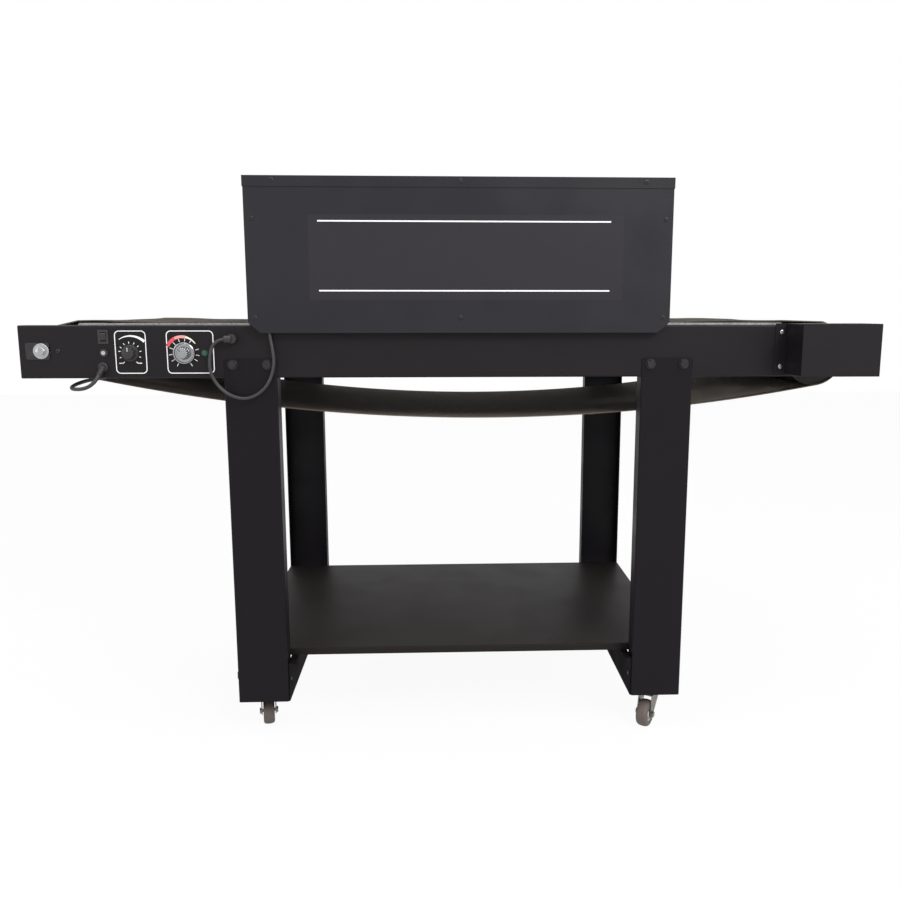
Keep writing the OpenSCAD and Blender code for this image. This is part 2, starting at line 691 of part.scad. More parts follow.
function belt_loop(c) = let (
    r = c - roller_r + drive_r,
    low = [belt_low_shift, low_z_at(c)],
    al = leave_angle(belt_low_shift - idler_x, axle_z, c, c, 10, 8),
    arc_l = roller_arc(idler_x, axle_z, c, 90 + rise_angle(axle_z, c, c), 270 - al),
    arc_r = roller_arc(drive_x, drive_z, r, -90 + leave_angle(drive_x - belt_low_shift, drive_z, r, c, 8, 8), 90 - rise_angle(drive_z, r, c)),
    pl = arc_l[belt_arc_steps],
    pr = arc_r[0],
    back = half_run(pl, low, 0, belt_run_steps - 1)
  ) concat(
    arc_l,
    [for (i = [1 : len(back) - 1]) back[len(back) - i]],
    half_run(pr, low, 0, belt_run_steps - 1),
    arc_r,
    [[bed_x1, bed_z + c - roller_r], [bed_x0, bed_z + c - roller_r]]
  );

module conveyor_belt() {
  at_mid() color([0.20, 0.15, 0.11]) along_y(belt_w) difference() {
    polygon(belt_loop(roller_r + seat_gap + belt_t));
    polygon(belt_loop(roller_r + seat_gap));
  }
}

// Rollers

module roller_shell(d, bore) {
  pipe_y(d, d - 2 * roller_wall, roller_l);
  for (s = [-1, 1]) translate([0, s * (roller_l / 2 - roller_disc_t), 0])
    pipe_y(d - 2 * roller_wall, bore, roller_disc_t);
}

module drive_roller() {
  at_mid() color([0.16, 0.16, 0.17]) translate([drive_x, 0, drive_z]) roller_shell(drive_d, shaft_d + 2 * fit_gap);
}

module drive_shaft() {
  front = coupling_y + coupling_w / 2 - seat_gap;
  at_mid() color([0.75, 0.76, 0.78]) translate([drive_x, (web_y - front) / 2, drive_z]) rod_y(shaft_d, web_y + front);
}

// Flange bearings on the inner faces of the rails
module drive_bearings() {
  at_mid() color([0.35, 0.36, 0.38]) for (r = [0, 1]) mirror([0, r, 0]) translate([drive_x, -web_y, drive_z]) difference() {
    union() {
      translate([0, bearing_w * 0.2, 0]) rotate([90, 0, 0]) linear_extrude(bearing_w * 0.4, center = true)
        plate_2d(bearing_l, bearing_h, bearing_l * 0.2);
      translate([0, bearing_w / 2, 0]) rod_y(bearing_boss_d, bearing_w);
    }
    rod_y(shaft_d + 2 * fit_gap, 3 * bearing_w);
    for (s = [-1, 1]) translate([s * bearing_l * 0.38, 0, s * bearing_h * 0.38]) rod_y(screw_d, 3 * bearing_w);
  }
}

module shaft_coupling() {
  stub = gearbox_w * 0.4;
  at_mid() color([0.62, 0.63, 0.66]) translate([drive_x, -coupling_y - coupling_w / 2, drive_z]) {
    difference() {
      rod_y(coupling_d, coupling_w);
      translate([0, coupling_w / 2, 0]) rod_y(shaft_d + 2 * fit_gap, coupling_w);
      translate([0, coupling_w / 4, coupling_d / 2]) cylinder(d = screw_d, h = coupling_d / 4, center = true);
    }
    translate([0, -coupling_w / 2 - stub / 2, 0]) rod_y(shaft_d * 0.63, stub);
  }
}

// The gearmotor hangs on four posts from the rail, with its motor on the gearbox's outer face
module gearmotor() {
  gx = drive_x - gearbox_shift;
  at_mid() color([0.25, 0.26, 0.28]) {
    difference() {
      translate([gx, -gearbox_y - gearbox_w / 2, drive_z]) rotate([90, 0, 0])
        linear_extrude(gearbox_w, center = true) plate_2d(gearbox_l, gearbox_h, bearing_l * 0.2);
      translate([drive_x, -gearbox_y - gearbox_w / 4, drive_z]) rod_y(shaft_d * 0.63 + 2 * seat_gap, gearbox_w / 2 + seat_gap);
    }
    for (x = [-1, 1], z = [-1, 1])
      translate([gx + x * (gearbox_l / 2 - post_d), -(rail_y + gearbox_y) / 2, drive_z + z * (gearbox_h / 2 - post_d)])
        rod_y(post_d, gearbox_y - rail_y);
    translate([drive_x - motor_shift, -gearbox_y - gearbox_w - motor_w / 2, drive_z]) rod_y(motor_d, motor_w);
    translate([drive_x - motor_shift, -gearbox_y - gearbox_w - motor_w * 0.1, drive_z]) rod_y(motor_d * 1.12, motor_w * 0.2);
  }
}

// The drive cover is a folded box, open towards the rail, with a flange for its two screws
module drive_cover() {
  at_mid() color([0.10, 0.10, 0.11]) difference() {
    union() {
      translate([cover_x + cover_l / 2, -rail_y, cover_z + cover_h / 2]) rotate([90, 0, 0])
        linear_extrude(cover_d) plate_2d(cover_l, cover_h, cover_t);
      translate([cover_x - cover_flange, -rail_y - cover_t, cover_z]) cube([cover_flange + cover_t, cover_t, cover_h]);
    }
    translate([cover_x + cover_t, -rail_y - cover_d + cover_t, cover_z + cover_t])
      cube([cover_l - 2 * cover_t, cover_d + overrun, cover_h - 2 * cover_t]);
    for (p = cover_screws()) translate([p[0], -rail_y, p[1]]) rod_y(screw_d + 2 * seat_gap, 4 * cover_t);
  }
}

// Idler and its take-up

module idler_roller() {
  at_mid() color([0.16, 0.16, 0.17]) translate([idler_x, 0, axle_z]) roller_shell(roller_d, shaft_d + 2 * fit_gap);
}

module idler_shaft() {
  l = 2 * (web_y - seat_gap - block_w * 0.5);
  at_mid() color([0.75, 0.76, 0.78]) translate([idler_x, 0, axle_z]) rod_y(shaft_d, l);
}

module take_up_blocks() {
  at_mid() color([0.55, 0.56, 0.58]) for (r = [0, 1]) mirror([0, r, 0])
    translate([idler_x, -web_y + seat_gap + block_w / 2, axle_z]) difference() {
      rotate([90, 0, 0]) linear_extrude(block_w, center = true) plate_2d(block_l, block_h, bend_r);
      translate([0, block_w / 2, 0]) rod_y(shaft_d + 2 * fit_gap, block_w);
      rod_y(take_up_bolt_d + 2 * fit_gap, 2 * block_w);
    }
}

// Each bolt clamps a slide plate and a washer on the rail's outer face
module take_up_bolts() {
  plate_y = rail_y + seat_gap;
  washer_y = plate_y + slide_plate_t;
  head_y = washer_y + take_up_washer_t;
  inner_y = web_y - seat_gap - block_w * 0.5;
  at_mid() color([0.80, 0.81, 0.83]) for (r = [0, 1]) mirror([0, r, 0]) translate([idler_x, 0, axle_z]) {
    translate([-slide_plate_shift, -plate_y - slide_plate_t / 2, 0]) rotate([90, 0, 0])
      linear_extrude(slide_plate_t, center = true) plate_2d(slide_plate_l, slide_plate_h, bend_r);
    translate([0, -washer_y - take_up_washer_t / 2, 0]) rod_y(take_up_washer_d, take_up_washer_t);
    translate([0, -head_y - bolt_head_h / 2, 0]) hex_y(bolt_head_d, bolt_head_h);
    translate([0, -(head_y + inner_y) / 2, 0]) rod_y(take_up_bolt_d, head_y - inner_y);
  }
}

// Controls

// A knob with its back on the rail's face and a scalloped grip
module knob(skirt_d, grip_d) {
  difference() {
    union() {
      translate([0, -seat_gap - skirt_h / 2, 0]) rod_y(skirt_d, skirt_h);
      translate([0, -seat_gap - knob_h / 2, 0]) rotate([90, 0, 0]) linear_extrude(knob_h, center = true) difference() {
        circle(d = grip_d);
        for (a = [0 : 45 : 359]) rotate(a) translate([grip_d * 0.56, 0]) circle(d = grip_d * 0.2);
      }
    }
    rod_y(spindle_d + 2 * fit_gap, knob_h);
  }
}

module speed_knob() {
  at_mid() color([0.05, 0.05, 0.05]) translate([speed_x, -rail_y, dial_z]) knob(speed_knob_d, speed_knob_d * grip_share);
}

// Potentiometer with its spindle, and the speed board behind the rail
module speed_control() {
  at_mid() {
    color([0.3, 0.4, 0.5]) translate([speed_x, -web_y + pot_w / 2, dial_z]) rod_y(pot_d, pot_w);
    color([0.7, 0.7, 0.7]) translate([speed_x, -rail_y, dial_z]) rod_y(spindle_d, knob_h * 0.8);
    color([0.10, 0.35, 0.18]) translate([speed_x - pot_d * 1.4, -web_y + pot_w + seat_gap, dial_z - rail_h * 0.3])
      cube([pot_d * 2.8, screw_head_h, rail_h * 0.6]);
  }
}

module temperature_knob() {
  at_mid() color([0.75, 0.75, 0.75]) translate([temp_x, -rail_y - dial_plate_t, dial_z]) knob(temp_knob_d * 1.1, temp_knob_d);
}

// Thermostat behind the rail, with its dial plate and raised bezel in front
module temperature_control() {
  at_mid() {
    color([0.6, 0.6, 0.62]) translate([temp_x, -rail_y, dial_z]) {
      translate([0, -dial_plate_t / 2, 0]) pipe_y(dial_bezel_d, spindle_d * 2, dial_plate_t);
      translate([0, -bezel_h / 2, 0]) pipe_y(dial_bezel_d, dial_bezel_d * 0.84, bezel_h);
    }
    color([0.6, 0.6, 0.62]) translate([temp_x, -rail_y - seat_gap, dial_z]) rod_y(spindle_d, knob_h * 0.8);
    color([0.85, 0.82, 0.75]) translate([temp_x - thermostat_l / 2, -web_y, dial_z - thermostat_h / 2])
      cube([thermostat_l, thermostat_w, thermostat_h]);
  }
}

// Rocker switch: a bezel and body that the rocker tilts in
module power_switch() {
  at_mid() color([0.06, 0.06, 0.06]) translate([switch_x, 0, switch_z]) difference() {
    union() {
      translate([0, -rail_y - rocker_tilt * 0.1, 0]) rotate([90, 0, 0]) linear_extrude(rocker_tilt * 0.2, center = true)
        plate_2d(switch_w, switch_h, hood_t);
      translate([0, -web_y + thermostat_w / 2 - rail_t / 2, 0])
        cube([rocker_w + 2 * seat_gap, thermostat_w + rail_t, rocker_h + 2 * seat_gap], center = true);
    }
    translate([0, -rail_y + rocker_h * 0.15, 0]) cube([rocker_w - fork_t, rocker_h * 0.7, rocker_h - fork_t], center = true);
  }
}

module power_rocker() {
  w = rocker_w - fork_t - 2 * seat_gap;
  r = rocker_h * 0.5;
  at_mid() color([0.04, 0.04, 0.04]) translate([switch_x, -rail_y, switch_z]) rotate([rocker_tilt, 0, 0])
    rotate([90, 0, 90]) linear_extrude(w, center = true) intersection() {
      translate([r * 0.62, 0]) circle(r * 0.62 * 1.72);
      polygon([[-r * 0.34, -r * 0.8], [-r * 0.18, 0], [-r * 0.34, r * 0.8], [r * 0.3, r * 0.6], [r * 0.3, -r * 0.6]]);
    }
}

module circuit_breaker() {
  at_mid() color([0.08, 0.08, 0.08]) translate([switch_x, -rail_y, breaker_z]) {
    difference() {
      union() {
        translate([0, -button_out / 4, 0]) rod_y(breaker_d, button_out / 2);
        translate([0, rail_t / 2, 0]) rod_y(breaker_d * 0.7, rail_t);
        translate([0, rail_t + thermostat_w / 2, 0]) cube([breaker_d, thermostat_w, breaker_d * 1.6], center = true);
      }
      translate([0, -button_out / 2, 0]) rod_y(button_d + 2 * seat_gap, 2 * button_out + 2 * button_travel);
    }
  }
}

module reset_button() {
  at_mid() color([0.75, 0.75, 0.75]) translate([switch_x, -rail_y - button_out / 2 + seat_gap / 2, breaker_z]) rod_y(button_d, button_out);
}

module pilot_light() {
  at_mid() color([0.1, 0.7, 0.2]) translate([pilot_x, -rail_y, dial_z]) {
    translate([0, -pilot_out * 0.2, 0]) rod_y(pilot_d, pilot_out * 0.4);
    translate([0, -pilot_out / 2, 0]) rod_y(pilot_d * 0.76, pilot_out);
    translate([0, thermostat_w / 2, 0]) rod_y(pilot_d * 0.8, thermostat_w);
  }
}

// A plate that closes the channel behind the controls, with a folded tray for the mains cord
module control_cover() {
  l = control_x1 - control_x0;
  at_mid() color([0.12, 0.12, 0.13]) translate([control_x0, -flange_y, rail_z]) along_x(l) {
    square([control_cover_t, rail_h]);
  }
  at_mid() color([0.12, 0.12, 0.13]) translate([tray_x0, -flange_y, rail_z]) along_x(control_x1 - tray_x0) {
    square([tray_w, control_cover_t]);
    translate([tray_w - control_cover_t, 0]) square([control_cover_t, tray_lip]);
  }
}

// Cords

function unit(v) = v / norm(v);
function tangent(p, i) = unit(p[min(i + 1, len(p) - 1)] - p[max(i - 1, 0)]);
function squared_to(u, t) = unit(u - (u * t) * t);
// One direction square to the path at each point, carried along without twist
side_shares = [0.2, 0.3, 0.93];
function side_dirs(p) = [for (i = 0, u = squared_to(side_shares, tangent(p, 0)); i < len(p);
  i = i + 1, u = squared_to(u, tangent(p, min(i, len(p) - 1)))) u];

module tube_along(p, d, sides) {
  u = side_dirs(p);
  n = len(p);
  points = [for (i = [0 : n - 1], k = [0 : sides - 1])
    let (v = cross(tangent(p, i), u[i]), a = 360 * k / sides) p[i] + d / 2 * (cos(a) * u[i] + sin(a) * v)];
  walls = [for (i = [0 : n - 2], k = [0 : sides - 1])
    let (a = i * sides + k, b = i * sides + (k + 1) % sides) each [[a, b + sides, b], [a, a + sides, b + sides]]];
  start_cap = [for (k = [1 : sides - 2]) [0, k, k + 1]];
  end_cap = [for (k = [1 : sides - 2]) [(n - 1) * sides, (n - 1) * sides + k + 1, (n - 1) * sides + k]];
  polyhedron(points, concat(walls, start_cap, end_cap));
}

// The coil spirals in on the floor, climbs one layer in half a turn and spirals out again
coil_steps = (2 * coil_half_turns + 1) * coil_turn_steps / 2;
coil_z = mains_d / 2 + floor_gap;
function coil_r_at(h) = h < coil_half_turns ? coil_r - coil_step * h / 2
  : h < coil_half_turns + 1 ? coil_r - coil_step * coil_half_turns / 2
  : coil_r - coil_step * (2 * coil_half_turns + 1 - h) / 2;
function coil_z_at(h) = coil_z + coil_step * min(max(h - coil_half_turns, 0), 1);
function coil_points() = [for (i = [0 : coil_steps]) let (h = 2 * i / coil_turn_steps, a = 180 * h, r = coil_r_at(h))
  [coil_c[0] + r * cos(a), coil_c[1] + r * sin(a), coil_z_at(h)]];
coil_end = coil_points()[coil_steps] - [0, coil_tail, 0];
coil_path = concat(coil_points(), [coil_end + [0, mains_d, 0], coil_end]);
coil_gaps = [for (i = [0 : coil_steps], j = [i + coil_turn_steps / 2 : coil_steps])
  norm(coil_points()[i] - coil_points()[j]) - mains_d];
echo("least gap between the coil's turns", min(coil_gaps));

// The relief's sleeve leans down and outwards, and the cord leaves straight out of its tip
relief_start = [relief_x, mid_y - rail_y - relief_out / 2, relief_z];
relief_way = unit(relief_lean_shares);
mains_path = concat(
  [relief_start + relief_l * relief_way, relief_start + (relief_l + mains_d) * relief_way],
  mains_route
);

module mains_strain_relief() {
  color([0.05, 0.05, 0.05]) difference() {
    union() {
      translate(relief_start) rod_y(relief_base_d, relief_out);
      translate(relief_start) rotate([0, acos(relief_way[2]), atan2(relief_way[1], relief_way[0])])
        cylinder(d1 = relief_base_d * 0.72, d2 = mains_d * 1.3, h = relief_l);
    }
    translate(relief_start + [0, relief_out / 2 + relief_base_d, 0]) cube(2 * relief_base_d, center = true);
  }
}

module mains_cord() { color([0.06, 0.06, 0.06]) tube_along(mains_path, mains_d, 8); }
module mains_cord_coil() { color([0.06, 0.06, 0.06]) tube_along(coil_path, mains_d, 6); }

// The plug: a moulded body with a waisted nose and three pins, lying beside the coil
module mains_plug() {
  translate(coil_end) {
    color([0.06, 0.06, 0.06]) {
      translate([0, -plug_nose_l / 2, 0]) rotate([90, 0, 0]) cylinder(d1 = mains_d * 1.5, d2 = mains_d * 1.9, h = plug_nose_l, center = true);
      translate([0, -plug_nose_l - (plug_l - plug_nose_l) / 2, 0]) rotate([90, 0, 0])
        linear_extrude(plug_l - plug_nose_l, center = true) plate_2d(plug_w, plug_h, bend_r * 1.5);
    }
    color([0.8, 0.75, 0.5]) {
      for (s = [-1, 1]) translate([s * plug_w * 0.235 - hood_t / 2, -plug_l - pin_l, -plug_h * 0.02])
        cube([hood_t, pin_l, plug_h * 0.25]);
      translate([0, -plug_l - pin_l / 2, -plug_h * 0.22]) rod_y(plug_h * 0.19, pin_l);
    }
  }
}

// Elbow gland on the rail and the bushing where the lead enters the heating chamber
module hood_lead_glands() {
  a = lead_route[0];
  b = lead_end;
  at_mid() color([0.10, 0.10, 0.10]) {
    translate([gland_x, -rail_y - gland_out / 2, gland_z]) rod_y(gland_d, gland_out);
    translate([(gland_x + a[0] + lead_clear) / 2, a[1] - mid_y, a[2]]) rod_x(gland_d * 0.8, gland_x - a[0] - lead_clear);
    translate([b[0], (b[1] + lead_clear - mid_y - pan_w / 2) / 2, b[2]]) rod_y(lead_d * 2, -pan_w / 2 - b[1] + mid_y - lead_clear);
  }
}

module hood_lead() { color([0.05, 0.05, 0.05]) tube_along(lead_route, lead_d, 8); }

// Casters

module at_caster(i) {
  x = leg_x[i % 2];
  y = (i < 2 ? -1 : 1) * caster_y;
  at_mid() translate([x, y, 0]) rotate([0, 0, caster_turns[i]]) children();
}

// Top plates with the fixed half of each head bearing, and their bolts through the foot plates
module caster_plates() {
  at_mid() color([0.72, 0.73, 0.75]) for (x = leg_x, y = [-caster_y, caster_y]) translate([x, y, 0]) {
    translate([0, 0, caster_h - plate_t]) linear_extrude(plate_t) plate_2d(plate_l, plate_w, bend_r * 1.5);
    translate([0, 0, caster_h - plate_t - head_h * 0.3]) cylinder(d = head_d * 0.8, h = head_h * 0.3 + seat_gap);
    for (s = [-1, 1], t = [-1, 1]) translate([s * plate_l * 0.39, t * plate_w * 0.35, caster_h - plate_t - axle_head_h])
      rotate([0, 0, 30]) cylinder(d = axle_head_d, h = axle_head_h + fit_gap, $fn = 6);
  }
}

// A fork: the lower bearing cup, two raked legs and the axle bolt, trailing towards +X
module fork() {
  top = caster_h - plate_t - head_h * 0.3 - seat_gap;
  inner = wheel_w / 2 + fork_gap;
  color([0.70, 0.71, 0.73]) {
    translate([0, 0, top - head_h * 0.7]) cylinder(d = head_d, h = head_h * 0.7);
    translate([-head_d * 0.3, -inner - fork_t, top - head_h * 0.7 - fork_t]) cube([head_d * 0.9, 2 * (inner + fork_t), fork_t + fit_gap]);
    for (s = [-1, 1]) translate([0, s * (inner + fork_t / 2), 0]) rotate([90, 0, 0]) linear_extrude(fork_t, center = true) {
      polygon([[-head_d * 0.3, top - head_h * 0.7], [head_d * 0.6, top - head_h * 0.7],
        [caster_trail + axle_head_d * 0.75, wheel_d / 2], [caster_trail - axle_head_d * 0.75, wheel_d / 2],
        [-head_d * 0.3, top - head_h * 1.9]]);
      translate([caster_trail, wheel_d / 2]) circle(axle_head_d * 0.75);
    }
    translate([caster_trail, 0, wheel_d / 2]) {
      rod_y(axle_d, 2 * (inner + fork_t));
      for (s = [-1, 1]) translate([0, s * (inner + fork_t + axle_head_h / 2), 0]) hex_y(axle_head_d, axle_head_h);
    }
  }
}

// A wheel: a rounded tread on a recessed hub
module wheel() {
  r = wheel_d / 2;
  edge = wheel_w * 0.22;
  translate([caster_trail, 0, r]) rotate([90, 0, 0]) rotate_extrude() difference() {
    union() {
      translate([axle_d / 2 + fit_gap, -wheel_w / 2]) square([r - edge - axle_d / 2 - fit_gap, wheel_w]);
      translate([r - edge - fit_gap, -wheel_w / 2 + edge]) square([edge + fit_gap, wheel_w - 2 * edge]);
      for (s = [-1, 1]) translate([r - edge, s * (wheel_w / 2 - edge)]) circle(edge);
    }
    for (s = [-1, 1]) translate([axle_head_d * 0.8, s * wheel_w / 2 - hub_recess])
      square([hub_d / 2 - axle_head_d * 0.8, 2 * hub_recess]);
  }
}

module front_left_fork() { at_caster(0) fork(); }
module front_right_fork() { at_caster(1) fork(); }
module rear_left_fork() { at_caster(2) fork(); }
module rear_right_fork() { at_caster(3) fork(); }
module front_left_wheel() { at_caster(0) color([0.30, 0.27, 0.26]) wheel(); }
module front_right_wheel() { at_caster(1) color([0.30, 0.27, 0.26]) wheel(); }
module rear_left_wheel() { at_caster(2) color([0.30, 0.27, 0.26]) wheel(); }
module rear_right_wheel() { at_caster(3) color([0.30, 0.27, 0.26]) wheel(); }

front_side_rail();
rear_side_rail();
cross_members();
slider_bed();
front_left_leg();
front_right_leg();
rear_left_leg();
rear_right_leg();
left_side_stretcher();
right_side_stretcher();
shelf();
frame_bolts();
hood_front_panel();
hood_rear_panel();
hood_left_end();
hood_right_end();
hood_lid();
hood_brackets();
panel_screws();
reflector_pan();
insulation_blanket();
heater_panels();
heater_hangers();
temperature_probe();
conveyor_belt();
drive_roller();
drive_shaft();
drive_bearings();
shaft_coupling();
gearmotor();
drive_cover();
idler_roller();
idler_shaft();
take_up_blocks();
take_up_bolts();
speed_knob();
speed_control();
temperature_knob();
temperature_control();
power_switch();
power_rocker();
circuit_breaker();
reset_button();
pilot_light();
control_cover();
mains_strain_relief();
mains_cord();
mains_cord_coil();
mains_plug();
hood_lead_glands();
hood_lead();
caster_plates();
front_left_fork();
front_right_fork();
rear_left_fork();
rear_right_fork();
front_left_wheel();
front_right_wheel();
rear_left_wheel();
rear_right_wheel();
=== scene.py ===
import json
import math
import bpy
import bmesh
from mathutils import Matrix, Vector


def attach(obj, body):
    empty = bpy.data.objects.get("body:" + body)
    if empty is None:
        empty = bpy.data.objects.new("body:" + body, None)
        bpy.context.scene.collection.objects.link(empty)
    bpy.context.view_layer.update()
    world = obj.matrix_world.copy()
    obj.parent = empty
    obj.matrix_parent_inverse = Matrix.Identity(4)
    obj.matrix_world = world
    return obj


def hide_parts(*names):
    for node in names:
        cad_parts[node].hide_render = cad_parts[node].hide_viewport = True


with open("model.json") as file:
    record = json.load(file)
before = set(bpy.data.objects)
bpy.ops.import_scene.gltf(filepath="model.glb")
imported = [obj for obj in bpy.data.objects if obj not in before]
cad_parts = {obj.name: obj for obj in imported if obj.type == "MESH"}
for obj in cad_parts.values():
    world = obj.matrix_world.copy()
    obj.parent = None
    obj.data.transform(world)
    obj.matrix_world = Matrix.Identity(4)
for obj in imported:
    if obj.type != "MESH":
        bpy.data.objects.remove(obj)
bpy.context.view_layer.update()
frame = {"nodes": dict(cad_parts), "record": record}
nodes = frame["nodes"]

# Camera. The photograph was taken from the control side, a little above the belt and with the
# hood near the middle of the picture.
camera_data = bpy.data.cameras.new("camera")
camera = bpy.data.objects.new("camera", camera_data)
bpy.context.collection.objects.link(camera)
camera.location = (-0.0233, -2.1976, 0.9775)
camera_pitch = 9.32
camera_yaw = 2.30
camera.rotation_euler = (math.radians(90 - camera_pitch), 0, math.radians(-camera_yaw))
camera_data.sensor_width = 36
camera_data.lens = 33.92
camera_data.shift_x = -0.0244
camera_data.clip_start = 0.01
bpy.context.scene.camera = camera
bpy.context.scene.view_settings.view_transform = "Standard"


# Mains cord. A black three-core cable with a smooth vinyl jacket leaves the strain relief, turns
# under the rail, runs along its tray and down inside the left leg, and ends in a coil on the floor.
def link(piece):
    bpy.context.collection.objects.link(piece)
    return piece


def smooth_path(points, parts):
    """Points along one smooth curve through the given points."""
    way = [Vector(p) for p in points]
    way = [2 * way[0] - way[1]] + way + [2 * way[-1] - way[-2]]
    path = []
    for a, b, c, d in zip(way, way[1:], way[2:], way[3:]):
        ab, bc, cd = (math.sqrt((q - p).length) for p, q in ((a, b), (b, c), (c, d)))
        for step in range(parts):
            t = ab + bc * step / parts
            a1 = a.lerp(b, t / ab)
            a2 = b.lerp(c, (t - ab) / bc)
            a3 = c.lerp(d, (t - ab - bc) / cd)
            b1 = a1.lerp(a2, t / (ab + bc))
            b2 = a2.lerp(a3, (t - ab) / (bc + cd))
            path.append(b1.lerp(b2, (t - ab) / bc))
    path.append(way[-2])
    return path


def cable(name, path, diameter):
    """A round cable along a path, as one open spline."""
    data = bpy.data.curves.new(name, "CURVE")
    data.dimensions = "3D"
    data.bevel_depth = diameter / 2
    data.bevel_resolution = 5
    data.use_fill_caps = True
    spline = data.splines.new("POLY")
    spline.points.add(len(path) - 1)
    for point, place in zip(spline.points, path):
        point.co = (*place, 1)
    spline.use_smooth = True
    return link(bpy.data.objects.new(name, data))


mains_d = 0.008
relief_base = Vector((-0.7405, -0.3449, 0.857956))
relief_way = Vector((-0.34, -0.46, -0.82)).normalized()
relief_l = 0.020
mains_mm = [
    (-753.6, -361.2, 828.6), (-758.8, -363.9, 823), (-765.2, -365.6, 818.4), (-772.6, -366.4, 815.2),
    (-780.4, -366.1, 813.4), (-789.8, -363.8, 812.6), (-798.3, -359.1, 812.5), (-805.2, -352.2, 813),
    (-809.9, -343.8, 814.2), (-812.1, -334.5, 815.9), (-811.5, -325.1, 818.1), (-807, -313.7, 821.2),
    (-798.8, -304.7, 824.4), (-787.8, -299.1, 827.1), (-775.4, -297.7, 829), (-755, -296, 834.5),
    (-725, -296, 838.5), (-690, -296, 840), (-600, -296, 840), (-505, -296, 840), (-484, -296, 840),
    (-471, -296.5, 837.5), (-460, -298, 831), (-452, -300, 822), (-446, -303, 810), (-442, -307, 795),
    (-439, -312, 775), (-436, -316, 752), (-434, -319, 725), (-434, -320, 690), (-434, -320, 500),
    (-434, -320, 300), (-434, -320, 133.7), (-434, -317.1, 119.2), (-434, -308.9, 106.8),
    (-434, -296.5, 98.6), (-434, -282, 95.7), (-434, -258, 95.4), (-434, -246.4, 93.9),
    (-434, -235.5, 89.4), (-434, -226.2, 82.2), (-434, -200, 51.3), (-434, -174.2, 20.5),
    (-434, -164.3, 11.7), (-434, -152.1, 6.1), (-434, -139.7, 4.4), (-435, -110, 4.4), (-439, -70, 4.4),
    (-444, -20, 4.4), (-448, 25, 4.4)]
cord_exit = relief_base + relief_way * relief_l
mains_points = [cord_exit, cord_exit + relief_way * mains_d]
mains_points += [Vector(p) / 1000 for p in mains_mm]

# The unseen length is wound in two layers that spiral in, climb and spiral out again.
coil_centre = Vector((-0.500, 0.060, 0.0044))
coil_r = 0.051
coil_step = 0.0093
coil_half_turns = 3
coil_tail = 0.046
half_turn_steps = 12
for i in range(half_turn_steps * (2 * coil_half_turns + 1) + 1):
    h = i / half_turn_steps
    turn = math.pi * h
    if h < coil_half_turns:
        r = coil_r - coil_step * h / 2
    elif h < coil_half_turns + 1:
        r = coil_r - coil_step * coil_half_turns / 2
    else:
        r = coil_r - coil_step * (2 * coil_half_turns + 1 - h) / 2
    rise = coil_step * min(max(h - coil_half_turns, 0), 1)
    mains_points.append(coil_centre + Vector((r * math.cos(turn), r * math.sin(turn), rise)))
cord_end = mains_points[-1] - Vector((0, coil_tail, 0))
mains_points += [cord_end + Vector((0, mains_d, 0)), cord_end]
mains_path = smooth_path(mains_points, 3)
mains_cord = cable("mains_cord_cable", mains_path, mains_d)
mains_length = sum((b - a).length for a, b in zip(mains_path, mains_path[1:]))
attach(mains_cord, "frame")
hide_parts("mains_cord", "mains_cord_coil")
print("mains cord length", round(mains_length, 4))


# Light and floor. A pale floor and backdrop, lit by a broad soft box overhead, two weaker ones at
# the sides and a strong one high up in front on the right, as for a catalogue picture.
world = bpy.data.worlds.new("studio")
bpy.context.scene.world = world
world.use_nodes = True
world.node_tree.nodes.clear()


class Wire:
    """An output of a shader node. Operators on it add Math nodes."""

    def __init__(self, tree, socket=None):
        self.tree = tree
        self.socket = socket

    def node(self, kind, settings=None, inputs=None, output=0):
        """Adds a node: its settings first, then the values or wires of its sockets."""
        made = self.tree.nodes.new(kind)
        for name, value in (settings or {}).items():
            setattr(made, name, value)
        for key, value in (inputs or {}).items():
            if isinstance(value, Wire):
                self.tree.links.new(value.socket, made.inputs[key])
            elif isinstance(value, tuple) and made.inputs[key].type == "RGBA":
                made.inputs[key].default_value = (*value, 1)
            else:
                made.inputs[key].default_value = value
        return Wire(self.tree, made.outputs[output] if made.outputs else None)

    def math(self, operation, *values):
        return self.node("ShaderNodeMath", {"operation": operation}, dict(enumerate(values)))

    def __add__(self, other):
        return self.math("ADD", self, other)

    __radd__ = __add__

    def __sub__(self, other):
        return self.math("SUBTRACT", self, other)

    def __rsub__(self, other):
        return self.math("SUBTRACT", other, self)

    def __mul__(self, other):
        return self.math("MULTIPLY", self, other)

    __rmul__ = __mul__

    def clamp(self, low, high, low_out=0.0, high_out=1.0):
        """Runs from low_out to high_out while this value runs from low to high."""
        return self.node("ShaderNodeMapRange", {"interpolation_type": "SMOOTHSTEP"},
                         {0: self, 1: low, 2: high, 3: low_out, 4: high_out})


sky = Wire(world.node_tree)
seen = sky.node("ShaderNodeLightPath", output="Is Camera Ray")
mirrored = sky.node("ShaderNodeLightPath", output="Is Glossy Ray")
through = sky.node("ShaderNodeLightPath", output="Is Transmission Ray")
fill_level = 0.62
direct = seen + mirrored + through
white_share = direct.math("MINIMUM", direct, 1.0)
shown = sky.node("ShaderNodeBackground", inputs={"Color": (1, 1, 1), "Strength": 1.0})
fill = sky.node("ShaderNodeBackground", inputs={"Color": (0.97, 0.985, 1), "Strength": fill_level})
backdrop = sky.node("ShaderNodeMixShader", inputs={0: white_share, 1: fill, 2: shown})
sky.node("ShaderNodeOutputWorld", inputs={"Surface": backdrop})


